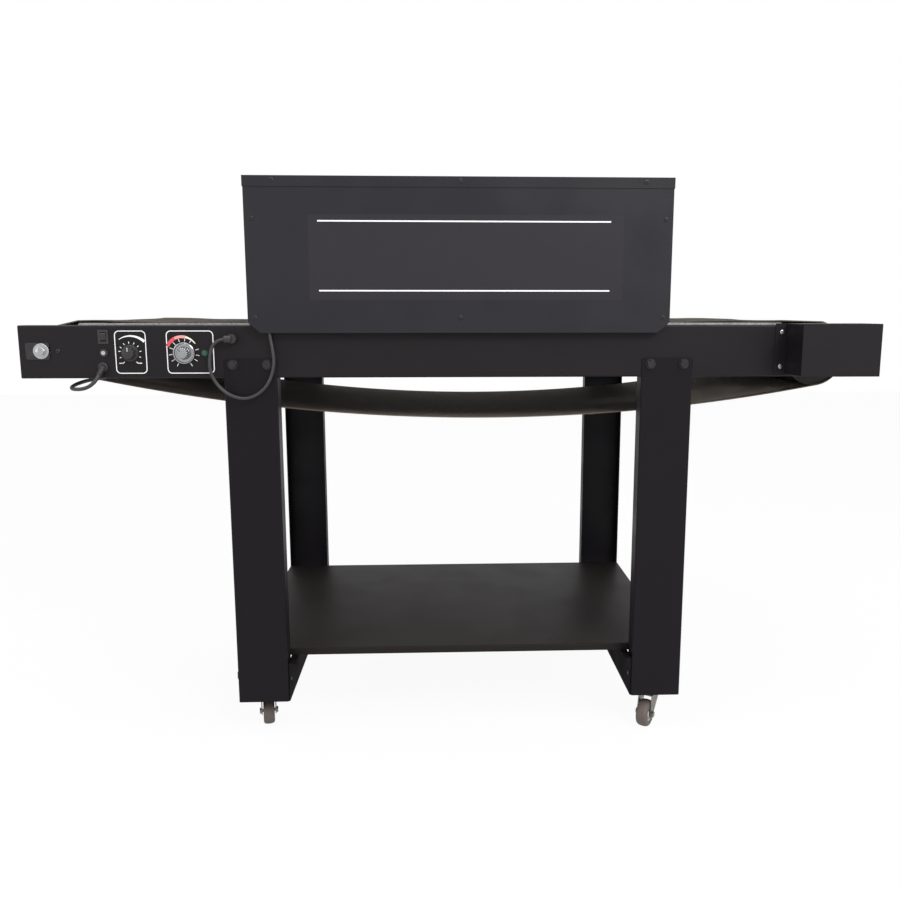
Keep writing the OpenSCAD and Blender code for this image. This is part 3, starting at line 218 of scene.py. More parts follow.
def soft_box(name, place, aim, size, power):
    data = bpy.data.lights.new(name, "AREA")
    data.shape = "RECTANGLE"
    data.size, data.size_y = size
    data.energy = power
    lamp = link(bpy.data.objects.new(name, data))
    lamp.location = place
    lamp.rotation_euler = (Vector(aim) - Vector(place)).to_track_quat("-Z", "Y").to_euler()


soft_box("overhead_light", (-0.4, -0.9, 3.4), (0, 0, 0.8), (3.0, 2.4), 46)
soft_box("left_light", (-3.2, -2.0, 1.9), (0, 0, 0.8), (1.6, 2.2), 26)
soft_box("right_light", (3.0, -1.6, 1.7), (0, 0, 0.8), (1.4, 2.0), 14)
soft_box("window_light", (2.3, -3.9, 3.9), (0.2, -0.4, 1.2), (1.8, 1.4), 150)

floor_size = 16
bpy.ops.mesh.primitive_plane_add(size=floor_size, location=(0, 0, 0))
floor = bpy.context.object
floor.name = "floor"
floor_finish = bpy.data.materials.new("floor")
floor_finish.use_nodes = True
floor_finish.node_tree.nodes.clear()
ground = Wire(floor_finish.node_tree)
ground_seen = ground.node("ShaderNodeLightPath", output="Is Camera Ray")
ground_mirrored = ground.node("ShaderNodeLightPath", output="Is Glossy Ray")
ground_white = 0.94
ground_gleam = 0.5
ground_paint = ground.node("ShaderNodeBsdfDiffuse", inputs={"Color": (0.86, 0.86, 0.86)})
ground_glow = ground.node("ShaderNodeEmission", inputs={"Color": (1, 1, 1), "Strength": 1.0})
ground_share = ground_seen * ground_white + ground_mirrored * ground_gleam
ground_mix = ground.node("ShaderNodeMixShader", inputs={0: ground_share, 1: ground_paint, 2: ground_glow})
ground.node("ShaderNodeOutputMaterial", inputs={"Surface": ground_mix})
floor.data.materials.append(floor_finish)


# Frame and stand. Folded sheet steel, 2 to 3 mm thick, in satin black powder coat: two channel
# rails, four channel legs with lapping tabs, side panels, a shelf and cross members.
def finish(name, colour, roughness=0.5, metal=0.0, specular=0.5, bump=None, bump_depth=0.0002, **more):
    """A material. Each of its values is a number, or a function of a wire that gives one."""
    made = bpy.data.materials.new(name)
    made.use_nodes = True
    made.node_tree.nodes.clear()
    start = Wire(made.node_tree)
    place = start.node("ShaderNodeTexCoord", output="Object")
    inputs = {"Base Color": colour, "Roughness": roughness, "Metallic": metal, "Specular IOR Level": specular}
    inputs.update(more)
    inputs = {key: value(place) if callable(value) else value for key, value in inputs.items()}
    if bump:
        inputs["Normal"] = start.node("ShaderNodeBump", inputs={
            "Strength": 1.0, "Distance": bump_depth, "Height": bump(place)}, output="Normal")
    shader = start.node("ShaderNodeBsdfPrincipled", inputs=inputs)
    start.node("ShaderNodeOutputMaterial", inputs={"Surface": shader})
    return made


def noise(place, scale, detail):
    inputs = {"Vector": place, "Scale": scale, "Detail": detail}
    return place.node("ShaderNodeTexNoise", inputs=inputs, output="Fac")


def blend(place, share, dark, light):
    """One colour to another as the share rises."""
    return place.node("ShaderNodeMix", {"data_type": "RGBA"}, {0: share, 6: dark, 7: light}, output=2)


def coat(name, dark, dusty, specular, roughness=0.46, cloudy=1.0):
    """Powder coat: a fine orange peel, cloudy gloss and a little dust where it lies upwards."""
    def colour(place):
        up = place.node("ShaderNodeNewGeometry", output="Normal")
        up = up.node("ShaderNodeSeparateXYZ", inputs={0: up}, output="Z")
        cloud = noise(place, 5.0, 4.0)
        speck = noise(place, 260.0, 2.0).clamp(0.62, 0.75)
        dust = up.clamp(0.6, 1.0) * cloud.clamp(0.35, 0.7, 0.25, 1.0) * 0.5 + speck * cloud * 0.16
        return blend(place, dust, dark, dusty)

    def gloss(place):
        return noise(place, 9.0, 5.0).clamp(0.3, 0.7, roughness - 0.05 * cloudy, roughness + 0.09 * cloudy)

    def peel(place):
        return noise(place, 620.0, 2.0) * 0.7 + noise(place, 170.0, 1.0) * 0.6

    return finish(name, colour, gloss, specular=specular, bump=peel, bump_depth=0.00012)


def dress(names, material):
    for name in names:
        piece = nodes[name]
        piece.data.materials.clear()
        piece.data.materials.append(material)


def faced(name, mesh_points, mesh_faces, material, body="frame", slot=None, sharp=32):
    """A mesh piece with smooth shading between its sharp edges."""
    data = bpy.data.meshes.new(name)
    data.from_pydata([tuple(p) for p in mesh_points], [], mesh_faces)
    data.validate()
    skin = bmesh.new()
    skin.from_mesh(data)
    bmesh.ops.recalc_face_normals(skin, faces=skin.faces)
    skin.to_mesh(data)
    skin.free()
    data.polygons.foreach_set("use_smooth", [True] * len(data.polygons))
    data.set_sharp_from_angle(angle=math.radians(sharp))
    data.materials.append(material)
    piece = link(bpy.data.objects.new(name, data))
    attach(piece, body)
    return piece


def rounded(x0, x1, z0, z1, r, steps=6):
    """A rectangle with rounded corners."""
    line = []
    middles = ((x1 - r, z1 - r), (x0 + r, z1 - r), (x0 + r, z0 + r), (x1 - r, z0 + r))
    for quarter, (cx, cz) in enumerate(middles):
        for i in range(steps + 1):
            a = math.radians(90 * (quarter + i / steps))
            line.append((cx + r * math.cos(a), cz + r * math.sin(a)))
    return line


def corners(piece):
    """The least and greatest corner of a piece."""
    spots = [piece.matrix_world @ point.co for point in piece.data.vertices]
    return [Vector([pick(spot[i] for spot in spots) for i in range(3)]) for pick in (min, max)]


def pan(name, x0, x1, y0, y1, z0, z1, t, r, material, slot):
    """A sheet folded down on all four sides, round at its bends."""
    levels = [(t, z1 - t), (t, z0), (0, z0)]
    bend_steps = 4
    for i in range(bend_steps + 1):
        a = math.pi / 2 * i / bend_steps
        levels.append((r - r * math.cos(a), z1 - r + r * math.sin(a)))
    points = []
    for inset, z in levels:
        ring = rounded(x0 + inset, x1 - inset, y0 + inset, y1 - inset, 2 * r - inset, 3)
        points += [(x, y, z) for x, y in ring]
    n = len(ring)
    faces = [tuple(range(n)), tuple(range(len(points) - n, len(points)))]
    for low in range(0, len(points) - n, n):
        for i in range(n):
            j = (i + 1) % n
            faces.append((low + i, low + j, low + n + j, low + n + i))
    return faced(name, points, faces, material, slot=slot)


# One black powder coat in several tones: the legs and side panels get darker copies of it, as painted shade,
# and the shelf a lighter copy, as painted light.
frame_coat = coat("frame_coat", (0.0074, 0.0058, 0.0070), (0.030, 0.027, 0.027), 0.19)
leg_coat = coat("leg_coat", (0.0054, 0.0038, 0.0058), (0.018, 0.016, 0.017), 0.15)
panel_coat = coat("panel_coat", (0.0052, 0.0038, 0.0052), (0.011, 0.009, 0.010), 0.02, roughness=0.6)
shelf_coat = coat("shelf_coat", (0.0170, 0.0142, 0.0138), (0.0215, 0.0182, 0.0172), 0.055, cloudy=0.35)
dress(["front_side_rail", "rear_side_rail", "cross_members", "hood_brackets", "control_cover", "drive_cover"],
      frame_coat)
dress(["front_left_leg", "front_right_leg", "rear_left_leg", "rear_right_leg"], leg_coat)
dress(["left_side_stretcher", "right_side_stretcher"], panel_coat)

# The shelf reaches the outer faces of the legs, over the side panels and between the legs in depth.
left_leg = corners(nodes["front_left_leg"])
right_leg = corners(nodes["front_right_leg"])
shelf_box = corners(nodes["shelf"])
shelf_inset = 0.001
shelf_t = 0.002
shelf_bend = 0.0035
shelf = pan("shelf_tray", left_leg[0].x + shelf_inset, right_leg[1].x - shelf_inset,
            shelf_box[0].y, shelf_box[1].y, shelf_box[0].z, shelf_box[1].z,
            shelf_t, shelf_bend, shelf_coat, "shelf_paint")
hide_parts("shelf")


# Hood. Five panels of 1.5 mm sheet steel, screwed at their rims, under a lid like a shallow tray.
hood_coat = coat("hood_coat", (0.0074, 0.0066, 0.0100), (0.030, 0.028, 0.034), 0.34, roughness=0.38)
dress(["hood_front_panel", "hood_rear_panel", "hood_left_end", "hood_right_end", "hood_lid"], hood_coat)
hood_front = corners(nodes["hood_front_panel"])
hood_rear = corners(nodes["hood_rear_panel"])
hood_x = (hood_front[0].x + hood_front[1].x) / 2
hood_face_y = hood_front[0].y
hood_back_y = hood_rear[1].y
mid_y = (hood_face_y + hood_back_y) / 2


def prism(outline, y_out, y_in):
    """Points and faces of an upright outline in X and Z, from its outer to its inner depth."""
    n = len(outline)
    points = [(x, y_out, z) for x, z in outline] + [(x, y_in, z) for x, z in outline]
    faces = [tuple(range(n)), tuple(range(2 * n - 1, n - 1, -1))]
    faces += [(i, (i + 1) % n, n + (i + 1) % n, n + i) for i in range(n)]
    return points, faces


def joined(parts):
    """Several point and face lists as one."""
    points, faces = [], []
    for part_points, part_faces in parts:
        faces += [tuple(i + len(points) for i in face) for face in part_faces]
        points += part_points
    return points, faces


def stroke(line, widths, y_out, y_in, closed=False):
    """A printed line on an upright face: points in X and Z, each with its width."""
    n = len(line)
    left, right = [], []
    for i in range(n):
        a = line[(i - 1) % n] if closed or i else line[i]
        b = line[(i + 1) % n] if closed or i < n - 1 else line[i]
        dx, dz = b[0] - a[0], b[1] - a[1]
        size = math.hypot(dx, dz)
        w = widths[i] / 2 if isinstance(widths, list) else widths / 2
        left.append((line[i][0] - dz / size * w, line[i][1] + dx / size * w))
        right.append((line[i][0] + dz / size * w, line[i][1] - dx / size * w))
    points, faces = [], []
    for a, b in zip(left, right):
        points += [(a[0], y_out, a[1]), (b[0], y_out, b[1]), (b[0], y_in, b[1]), (a[0], y_in, a[1])]
    for i in range(n if closed else n - 1):
        p, q = 4 * i, 4 * ((i + 1) % n)
        faces += [(p + k, p + (k + 1) % 4, q + (k + 1) % 4, q + k) for k in range(4)]
    if not closed:
        faces += [(3, 2, 1, 0), (4 * n - 4, 4 * n - 3, 4 * n - 2, 4 * n - 1)]
    return points, faces


def grain(scale, detail=3.0):
    """A finish's value that is plain noise."""
    return lambda place: noise(place, scale, detail)


def mottled(dark, light, scale, detail=3.0):
    """A finish's colour that wanders between two."""
    return lambda place: blend(place, noise(place, scale, detail), dark, light)


def uneven(low, high, scale, detail=4.0):
    """A finish's roughness that wanders between two values."""
    return lambda place: noise(place, scale, detail).clamp(0.3, 0.7, low, high)


film_finish = finish("decal_film", mottled((0.0150, 0.0132, 0.0172), (0.0180, 0.0158, 0.0200), 30.0),
                     0.36, specular=0.30)
white_ink = finish("white_ink", mottled((0.74, 0.74, 0.75), (0.84, 0.84, 0.84), 180.0), 0.42)
film_t = 0.0002
film_r = 0.004
film_x = (-0.293, 0.3729)
film_z = (1.000, 1.1764)
film = rounded(*film_x, *film_z, film_r)
faced("hood_film", *prism(film, hood_face_y - film_t, hood_face_y), film_finish, slot="hood_paint")
rule_w = 0.003
rule_x = (-0.273, 0.345)
rule_z = (1.163, 1.0196)
rules = []
for z in rule_z:
    rules.append(stroke([(x, z) for x in rule_x], rule_w, hood_face_y - 2 * film_t, hood_face_y - film_t))
faced("film_rules", *joined(rules), white_ink, slot="hood_paint")


# Heating chamber. Two dark infrared panels hang on threaded rods in a bright aluminised pan, with
# a white ceramic-fibre blanket on it and a temperature probe between the panels.
emitter = finish("emitter_face", mottled((0.030, 0.026, 0.022), (0.075, 0.062, 0.050), 45.0, 5.0),
                 0.8, bump=grain(320.0, 4.0), bump_depth=0.0005)
aluminised = finish("aluminised_sheet", mottled((0.60, 0.61, 0.62), (0.74, 0.75, 0.76), 12.0, 4.0),
                    uneven(0.24, 0.42, 24.0), metal=1.0)
fibre = finish("ceramic_fibre", mottled((0.62, 0.60, 0.55), (0.83, 0.82, 0.78), 90.0, 6.0),
               0.95, bump=grain(240.0, 6.0), bump_depth=0.002)
steel = finish("ground_steel", mottled((0.42, 0.43, 0.44), (0.56, 0.57, 0.58), 60.0, 4.0),
               uneven(0.22, 0.36, 90.0), metal=1.0)
zinc = finish("zinc_plate", mottled((0.34, 0.345, 0.35), (0.50, 0.505, 0.51), 70.0, 5.0),
              uneven(0.24, 0.40, 130.0), metal=1.0, bump=grain(900.0, 2.0), bump_depth=0.00005)
dress(["heater_panels"], emitter)
dress(["reflector_pan"], aluminised)
dress(["insulation_blanket"], fibre)
dress(["heater_hangers"], zinc)
dress(["temperature_probe"], steel)


# Belt. An endless open mesh of glass yarn with a dark brown non-stick coating, smooth bands
# pressed on both edges and a pinned joint. It hangs slack between the rollers underneath.
joint_of = {joint["child"]: joint for joint in frame["record"]["behaviour"]["joints"]}
idler_x, _, idler_z = joint_of["idler"]["pos_m"]
drive_x, _, drive_z = joint_of["drive"]["pos_m"]
idler_r = 0.044
drive_r = 0.068
bed = corners(nodes["slider_bed"])
belt_w = 0.610
belt_t = 0.002
belt_seat = 0.0003
slack_x = 0.080
slack_z = 0.7365


def roller_angles(run, roller_z, reach, bed_away, top_z, low_z):
    """Where the belt leaves a roller: its turn below for the hanging run, its rise above for the bed."""
    turn = 0.0
    for _ in range(16):
        turn = math.atan(2 * (roller_z - reach * math.cos(turn) - low_z) / (run - reach * math.sin(turn)))
    climb = top_z - roller_z
    rise = math.atan2(climb, bed_away) + math.acos(reach / math.hypot(bed_away, climb)) - math.pi / 2
    return turn, rise


def belt_line(off):
    """Points round the loop at a distance off the rollers, from the idler's top underneath."""
    low_z = slack_z + belt_t + belt_seat - off
    top_z = bed[1].z + off
    idler_reach = idler_r + off
    drive_reach = drive_r + off
    turn, rise = roller_angles(slack_x - idler_x, idler_z, idler_reach, bed[0].x - idler_x, top_z, low_z)
    line = []
    arc_steps = 28
    for i in range(arc_steps + 1):
        a = math.pi / 2 + rise + (math.pi - turn - rise) * i / arc_steps
        line.append((idler_x + idler_reach * math.cos(a), idler_z + idler_reach * math.sin(a)))
    run_steps = 60
    start_x, start_z = line[-1]
    for i in range(1, run_steps):
        t = 1 - i / run_steps
        line.append((slack_x + (start_x - slack_x) * t, low_z + (start_z - low_z) * t * t))
    turn, rise = roller_angles(drive_x - slack_x, drive_z, drive_reach, drive_x - bed[1].x, top_z, low_z)
    arc = []
    for i in range(arc_steps + 1):
        a = -math.pi / 2 + turn + (math.pi - turn - rise) * i / arc_steps
        arc.append((drive_x + drive_reach * math.cos(a), drive_z + drive_reach * math.sin(a)))
    end_x, end_z = arc[0]
    for i in range(run_steps):
        t = i / run_steps
        line.append((slack_x + (end_x - slack_x) * t, low_z + (end_z - low_z) * t * t))
    line += arc
    top_steps = 150
    for i in range(top_steps + 1):
        line.append((bed[1].x + (bed[0].x - bed[1].x) * i / top_steps, top_z))
    return line


def swell(x, middle, half, height):
    return height * math.exp(-((x - middle) / half) ** 2)


def ripple(x, y, z):
    """How far the slack top run lifts off the bed beside the hood and off the rollers."""
    fade = max(0.0, min(1.0, (z - 0.925) / 0.020))
    edge = 0.45 + 0.55 * min(1.0, (abs(y - mid_y) / (belt_w / 2)) ** 2)
    left = swell(x, -0.868, 0.030, 0.0085) + swell(x, -0.785, 0.085, 0.0045)
    right = 0.0030 / (1 + math.exp((0.56 - x) / 0.016)) / (1 + math.exp((x - 0.905) / 0.006))
    right += swell(x, 0.868, 0.034, 0.0080)
    fine = 0.0005 * (0.5 + 0.5 * math.sin(x * 61.0 + y * 4.0))
    lift = (left + right * (0.86 + 0.14 * math.sin(x * 34.0)) + fine) * edge
    return fade * lift * (0.90 + 0.10 * math.sin(y * 23.0 + x * 9.0))


def belt_band(name, y0, y1, columns, lift, depth, material):
    """A closed band round the loop between two places across it."""
    outer = belt_line(belt_seat + belt_t + lift)
    inner = belt_line(belt_seat + belt_t + lift - depth)
    rows = len(outer)
    points, faces = [], []
    for line in (outer, inner):
        for x, z in line:
            for c in range(columns + 1):
                y = y0 + (y1 - y0) * c / columns
                points.append((x, y, z + ripple(x, y, z)))
    wide = columns + 1
    under = rows * wide
    for row in range(rows):
        i = row * wide
        j = (row + 1) % rows * wide
        for c in range(columns):
            faces.append((i + c, i + c + 1, j + c + 1, j + c))
            faces.append((under + i + c, under + j + c, under + j + c + 1, under + i + c + 1))
        for c in (0, columns):
            faces.append((i + c, j + c, under + j + c, under + i + c))
    return faced(name, points, faces, material, slot="belt", sharp=50)


yarn_pitch = 0.004


def yarn_height(place):
    """Crossing yarns, from 0 in the openings to 1 on the yarns, on flat runs and round the rollers."""
    axes = [place.node("ShaderNodeSeparateXYZ", inputs={0: place}, output=name) for name in "XYZ"]
    tilt = place.node("ShaderNodeNewGeometry", output="Normal")
    tilt_x = place.node("ShaderNodeSeparateXYZ", inputs={0: tilt}, output="X")
    steep = tilt_x.math("ABSOLUTE", tilt_x).clamp(0.60, 0.80)
    waves = [place.math("SINE", axis * (math.pi / yarn_pitch)) for axis in axes]
    x_wave, y_wave, z_wave = [wave * wave for wave in waves]
    weft = (x_wave * (1 - steep) + z_wave * steep).clamp(0.30, 0.75)
    warp = y_wave.clamp(0.30, 0.75)
    return weft.math("MAXIMUM", weft, warp)


def mesh_colour(place):
    """Brown glass yarn, stained in patches, with painted shade in the openings between the yarns."""
    stained = blend(place, noise(place, 6.0, 5.0), (0.080, 0.064, 0.050), (0.150, 0.126, 0.105))
    # Painted shade: the openings between the yarns are near black.
    return blend(place, yarn_height(place), (0.016, 0.013, 0.0105), stained)


def inner_colour_and_painted_light(place):
    """The belt's inner face, stained in patches and paler than the outer face, with painted light that makes
    it much paler towards the driven roller, and painted shade in the openings.
    """
    patches = noise(place, 6.0, 5.0)
    stained = blend(place, patches, (0.17, 0.146, 0.128), (0.24, 0.21, 0.186))
    # Painted light: a much paler colour towards the driven roller, where light reaches the inner face.
    painted_light = blend(place, patches, (0.62, 0.54, 0.47), (0.78, 0.70, 0.62))
    lit_towards_drive = place.node("ShaderNodeSeparateXYZ", inputs={0: place}, output="X").clamp(0.44, 0.60)
    yarn = blend(place, lit_towards_drive, stained, painted_light)
    return blend(place, yarn_height(place) * 0.7 + 0.3, (0.05, 0.042, 0.036), yarn)


yarn_depth = 0.0008
belt_mesh = finish("coated_mesh", mesh_colour, uneven(0.60, 0.78, 14.0),
                   specular=0.03, bump=yarn_height, bump_depth=yarn_depth)
# The belt's inner face, with painted light towards the driven roller.
rubbed_mesh = finish("rubbed_mesh", inner_colour_and_painted_light, 0.7, specular=0.05, bump=yarn_height, bump_depth=yarn_depth)
band_film = finish("edge_band_film", mottled((0.090, 0.072, 0.056), (0.150, 0.125, 0.104), 8.0, 5.0),
                   0.5, specular=0.05, bump=grain(500.0, 2.0), bump_depth=0.0001)
belt_low_y = mid_y - belt_w / 2
belt_high_y = mid_y + belt_w / 2
band_w = 0.014
band_t = 0.0003
belt = belt_band("belt_mesh", belt_low_y + band_t, belt_high_y - band_t, 20, 0, belt_t, belt_mesh)
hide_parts("conveyor_belt")
belt.data.materials.append(rubbed_mesh)
for face in belt.data.polygons:
    if min(face.vertices) >= len(belt.data.vertices) // 2:
        face.material_index = 1
for side, start in (("front", belt_low_y), ("rear", belt_high_y - band_w)):
    belt_band("belt_edge_" + side, start, start + band_w, 2, band_t, belt_t + 1.6 * band_t, band_film)

# The joint's two rows of loops on a pin, on the hanging run.
joint_x = 0.330
run_reach = 0.770
run_rise = 0.072
joint_sink = 0.0004
joint_z = slack_z + run_rise * ((joint_x - slack_x) / run_reach) ** 2 - joint_sink
joint_margin = 0.010
loop_count = 58
loop_w = 0.0038
loop_reach = 0.0085
loop_rise = 0.0021
loop_sides = 10
loop = []
for k in range(loop_sides):
    a = 2 * math.pi * k / loop_sides
    loop.append((joint_x + loop_reach * math.cos(a), joint_z + loop_rise * math.sin(a)))
loops = []
for i in range(loop_count):
    y = belt_low_y + joint_margin + (belt_w - 2 * joint_margin) * i / (loop_count - 1)
    loops.append(prism(loop, y - loop_w / 2, y + loop_w / 2))
faced("belt_joint", *joined(loops), band_film, slot="belt")


# Rollers and slider bed. Rolled steel tubes with pressed end discs, and a galvanised sheet that
# the top run slides on.
def spangle(place):
    cells = place.node("ShaderNodeTexVoronoi", inputs={"Vector": place, "Scale": 130.0}, output="Distance")
    return blend(place, cells.clamp(0.1, 0.6), (0.30, 0.31, 0.32), (0.46, 0.47, 0.48))


roller_steel = finish("roller_steel", mottled((0.018, 0.0165, 0.016), (0.040, 0.037, 0.035), 20.0, 5.0),
                      uneven(0.32, 0.5, 60.0), metal=0.9)
galvanised = finish("galvanised_sheet", spangle, uneven(0.30, 0.5, 40.0), metal=1.0)
dress(["drive_roller", "idler_roller"], roller_steel)
dress(["slider_bed", "take_up_blocks"], galvanised)
dress(["drive_shaft", "idler_shaft", "shaft_coupling"], steel)


# Drive. Cast iron flange bearings bolted inside the rails, and a painted gearmotor on four posts
# under a folded cover.
grey_iron = finish("grey_iron", mottled((0.075, 0.078, 0.082), (0.12, 0.123, 0.128), 60.0, 5.0),
                   0.55, bump=grain(420.0, 4.0), bump_depth=0.0004)
motor_coat = finish("motor_coat", mottled((0.050, 0.053, 0.058), (0.085, 0.088, 0.095), 50.0, 5.0),
                    0.45, bump=grain(500.0), bump_depth=0.0002)
dress(["drive_bearings"], grey_iron)
dress(["gearmotor"], motor_coat)


# Take-up. A slide plate, a thick washer and a hex bolt on each side clamp the idler's block. The
# bolt and washer are bright zinc-plated steel, and the plate has gone dull.
dark_zinc = finish("dull_zinc", mottled((0.030, 0.028, 0.029), (0.065, 0.062, 0.063), 80.0, 5.0),
                   0.36, metal=0.85)
rail_face_y = corners(nodes["front_side_rail"])[0].y
rail_back_y = corners(nodes["rear_side_rail"])[1].y


def turned(profile, centre, axis, sides=40):
    """Points and faces of a turned shape: (radius, distance along the axis) pairs from the centre."""
    way = Vector(axis).normalized()
    u = way.orthogonal().normalized()
    v = way.cross(u)
    middle = Vector(centre)
    points, faces, rings = [], [], []
    for r, h in profile:
        if r == 0:
            rings.append([len(points)])
            points.append(middle + way * h)
        else:
            rings.append([len(points) + k for k in range(sides)])
            for k in range(sides):
                a = 2 * math.pi * k / sides
                points.append(middle + way * h + (u * math.cos(a) + v * math.sin(a)) * r)
    for a, b in zip(rings, rings[1:]):
        for k in range(sides):
            m = (k + 1) % sides
            if len(a) == 1:
                faces.append((a[0], b[k], b[m]))
            elif len(b) == 1:
                faces.append((a[k], b[0], a[m]))
            else:
                faces.append((a[k], b[k], b[m], a[m]))
    for ring, last in ((rings[0], False), (rings[-1], True)):
        if len(ring) > 1:
            faces.append(tuple(ring) if last else tuple(reversed(ring)))
    return points, faces


def hex_head(flats, h, centre, axis, turn):
    """A hexagon head with its corners turned down to a cone."""
    way = Vector(axis).normalized()
    u = way.orthogonal().normalized()
    v = way.cross(u)
    middle = Vector(centre)
    sides = 36
    cone = flats / 2 * 0.96
    points, faces = [], []
    levels = []
    for step in (0.0, 0.62, 0.86, 1.0):
        ring = []
        for k in range(sides):
            a = 2 * math.pi * k / sides
            from_flat = (a - turn) % (math.pi / 3) - math.pi / 6
            r = min(flats / 2 / math.cos(from_flat), cone + (1 - step) * h * 1.7)
            ring.append(len(points))
            points.append(middle + way * (h * step) + (u * math.cos(a) + v * math.sin(a)) * r)
        levels.append(ring)
    for a, b in zip(levels, levels[1:]):
        faces += [(a[k], a[(k + 1) % sides], b[(k + 1) % sides], b[k]) for k in range(sides)]
    faces.append(tuple(levels[-1]))
    faces.append(tuple(reversed(levels[0])))
    return points, faces


slide_plate = corners(nodes["take_up_bolts"])
slide_plate_t = 0.0015
slide_gap = 0.0003
slide_plate_r = 0.004
thick_washer = [(0.0165, 0), (0.0165, 0.0020), (0.0160, 0.0025), (0, 0.0025)]
clamp_collar = [(0.0105, 0), (0.0105, 0.0012), (0.0098, 0.0014), (0, 0.0014)]
clamp_flats = 0.017
clamp_head_h = 0.0046
clamp_turn = 0.3
shank_r = 0.005
shank_from = 0.362
clamp_parts, plate_parts = [], []
for face, out in ((rail_face_y, -1), (rail_back_y, 1)):
    axis = (0, out, 0)
    plate_y = face + out * slide_gap
    washer_y = plate_y + out * slide_plate_t
    collar_y = washer_y + out * thick_washer[-1][1]
    head_y = collar_y + out * clamp_collar[-1][1]
    shank_y = mid_y + out * shank_from
    shank_l = out * (plate_y - shank_y)
    outline = rounded(slide_plate[0].x, slide_plate[1].x, slide_plate[0].z, slide_plate[1].z, slide_plate_r)
    plate_parts.append(prism(outline, washer_y, plate_y))
    clamp_parts.append(turned(thick_washer, (idler_x, washer_y, idler_z), axis))
    clamp_parts.append(turned(clamp_collar, (idler_x, collar_y, idler_z), axis))
    clamp_parts.append(hex_head(clamp_flats, clamp_head_h, (idler_x, head_y, idler_z), axis, clamp_turn))
    shank = [(shank_r, 0), (shank_r, shank_l), (0, shank_l)]
    clamp_parts.append(turned(shank, (idler_x, shank_y, idler_z), axis, 24))
clamps = faced("take_up_clamps", *joined(clamp_parts), zinc, "take_up", "zinc")
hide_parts("take_up_bolts")
faced("take_up_plates", *joined(plate_parts), dark_zinc, "take_up", "zinc")


# Screws and bolts. Cross-recessed pan heads hold the hood, its lid and the drive cover; black
# hex bolts with washers hold the legs on the rails.
def pan_head(centre, out):
    """A domed head with a cross recess."""
    r = 0.005
    h = 0.0018
    sides = 32
    rows = ((1.0, 0.0), (1.0, 0.30), (0.93, 0.62), (0.78, 0.86), (0.56, 0.98))
    points, faces = [], []
    for share, rise in rows:
        for k in range(sides):
            a = 2 * math.pi * k / sides
            points.append((centre[0] + r * share * math.cos(a), centre[1] + out * h * rise,
                           centre[2] + r * share * math.sin(a)))
    for row in range(len(rows) - 1):
        for k in range(sides):
            m = (k + 1) % sides
            faces.append((row * sides + k, row * sides + m, (row + 1) * sides + m, (row + 1) * sides + k))
    base = len(points)
    for share, rise, wide in ((0.56, 0.98, 1.0), (0.50, 0.25, 0.8), (0.0, 0.10, 0.0)):
        for k in range(sides):
            a = 2 * math.pi * k / sides
            arm = abs(math.cos(2 * a)) ** 3
            reach = r * share * (0.34 + 0.66 * arm) if rise < 0.9 else r * 0.56 * (0.36 + 0.64 * arm)
            points.append((centre[0] + reach * math.cos(a), centre[1] + out * h * rise,
                           centre[2] + reach * math.sin(a)))
    top = (len(rows) - 1) * sides
    for k in range(sides):
        m = (k + 1) % sides
        faces.append((top + k, top + m, base + m, base + k))
        faces.append((base + k, base + m, base + sides + m, base + sides + k))
        faces.append((base + sides + k, base + sides + m, base + 2 * sides + m, base + 2 * sides + k))
    faces.append(tuple(reversed(range(sides))))
    return points, faces


black_oxide = finish("black_oxide", mottled((0.016, 0.0155, 0.016), (0.045, 0.043, 0.043), 140.0, 4.0),
                     0.38, metal=0.7)
lid = corners(nodes["hood_lid"])
hood_half = (lid[1].x - lid[0].x) / 2
hood_screw_inset = 0.0165
hood_screw_x = hood_half - hood_screw_inset
lid_screw_x = 0.865 * hood_half
low_screw_z = 0.963
high_screw_z = 1.16804
lid_screw_z = 1.24476
hood_places = [(-hood_screw_x, low_screw_z), (hood_screw_x, low_screw_z), (0, low_screw_z),
               (-hood_screw_x, high_screw_z), (hood_screw_x, high_screw_z)]
hood_heads = []
for face, lid_face, out in ((hood_face_y, lid[0].y, -1), (hood_back_y, lid[1].y, 1)):
    hood_heads += [pan_head((hood_x + x, face, z), out) for x, z in hood_places]
    hood_heads += [pan_head((hood_x + x, lid_face, lid_screw_z), out) for x in (-lid_screw_x, 0, lid_screw_x)]
stop_screw_away = 0.0345
for face, out in ((rail_face_y, -1), (rail_back_y, 1)):
    hood_heads.append(pan_head((idler_x + stop_screw_away, face, idler_z), out))
cover_flange_t = 0.0015
cover_screw_x = 0.7339
cover_screw_z = (0.93163, 0.85615)
heads = [pan_head((cover_screw_x, rail_face_y - cover_flange_t, z), -1) for z in cover_screw_z]
screws = faced("screw_heads", *joined(heads), zinc, slot="zinc", sharp=40)
hood_screws = faced("hood_screw_heads", *joined(hood_heads), black_oxide, slot="dark_bolt", sharp=40)
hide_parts("panel_screws")
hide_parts("panel_screws")

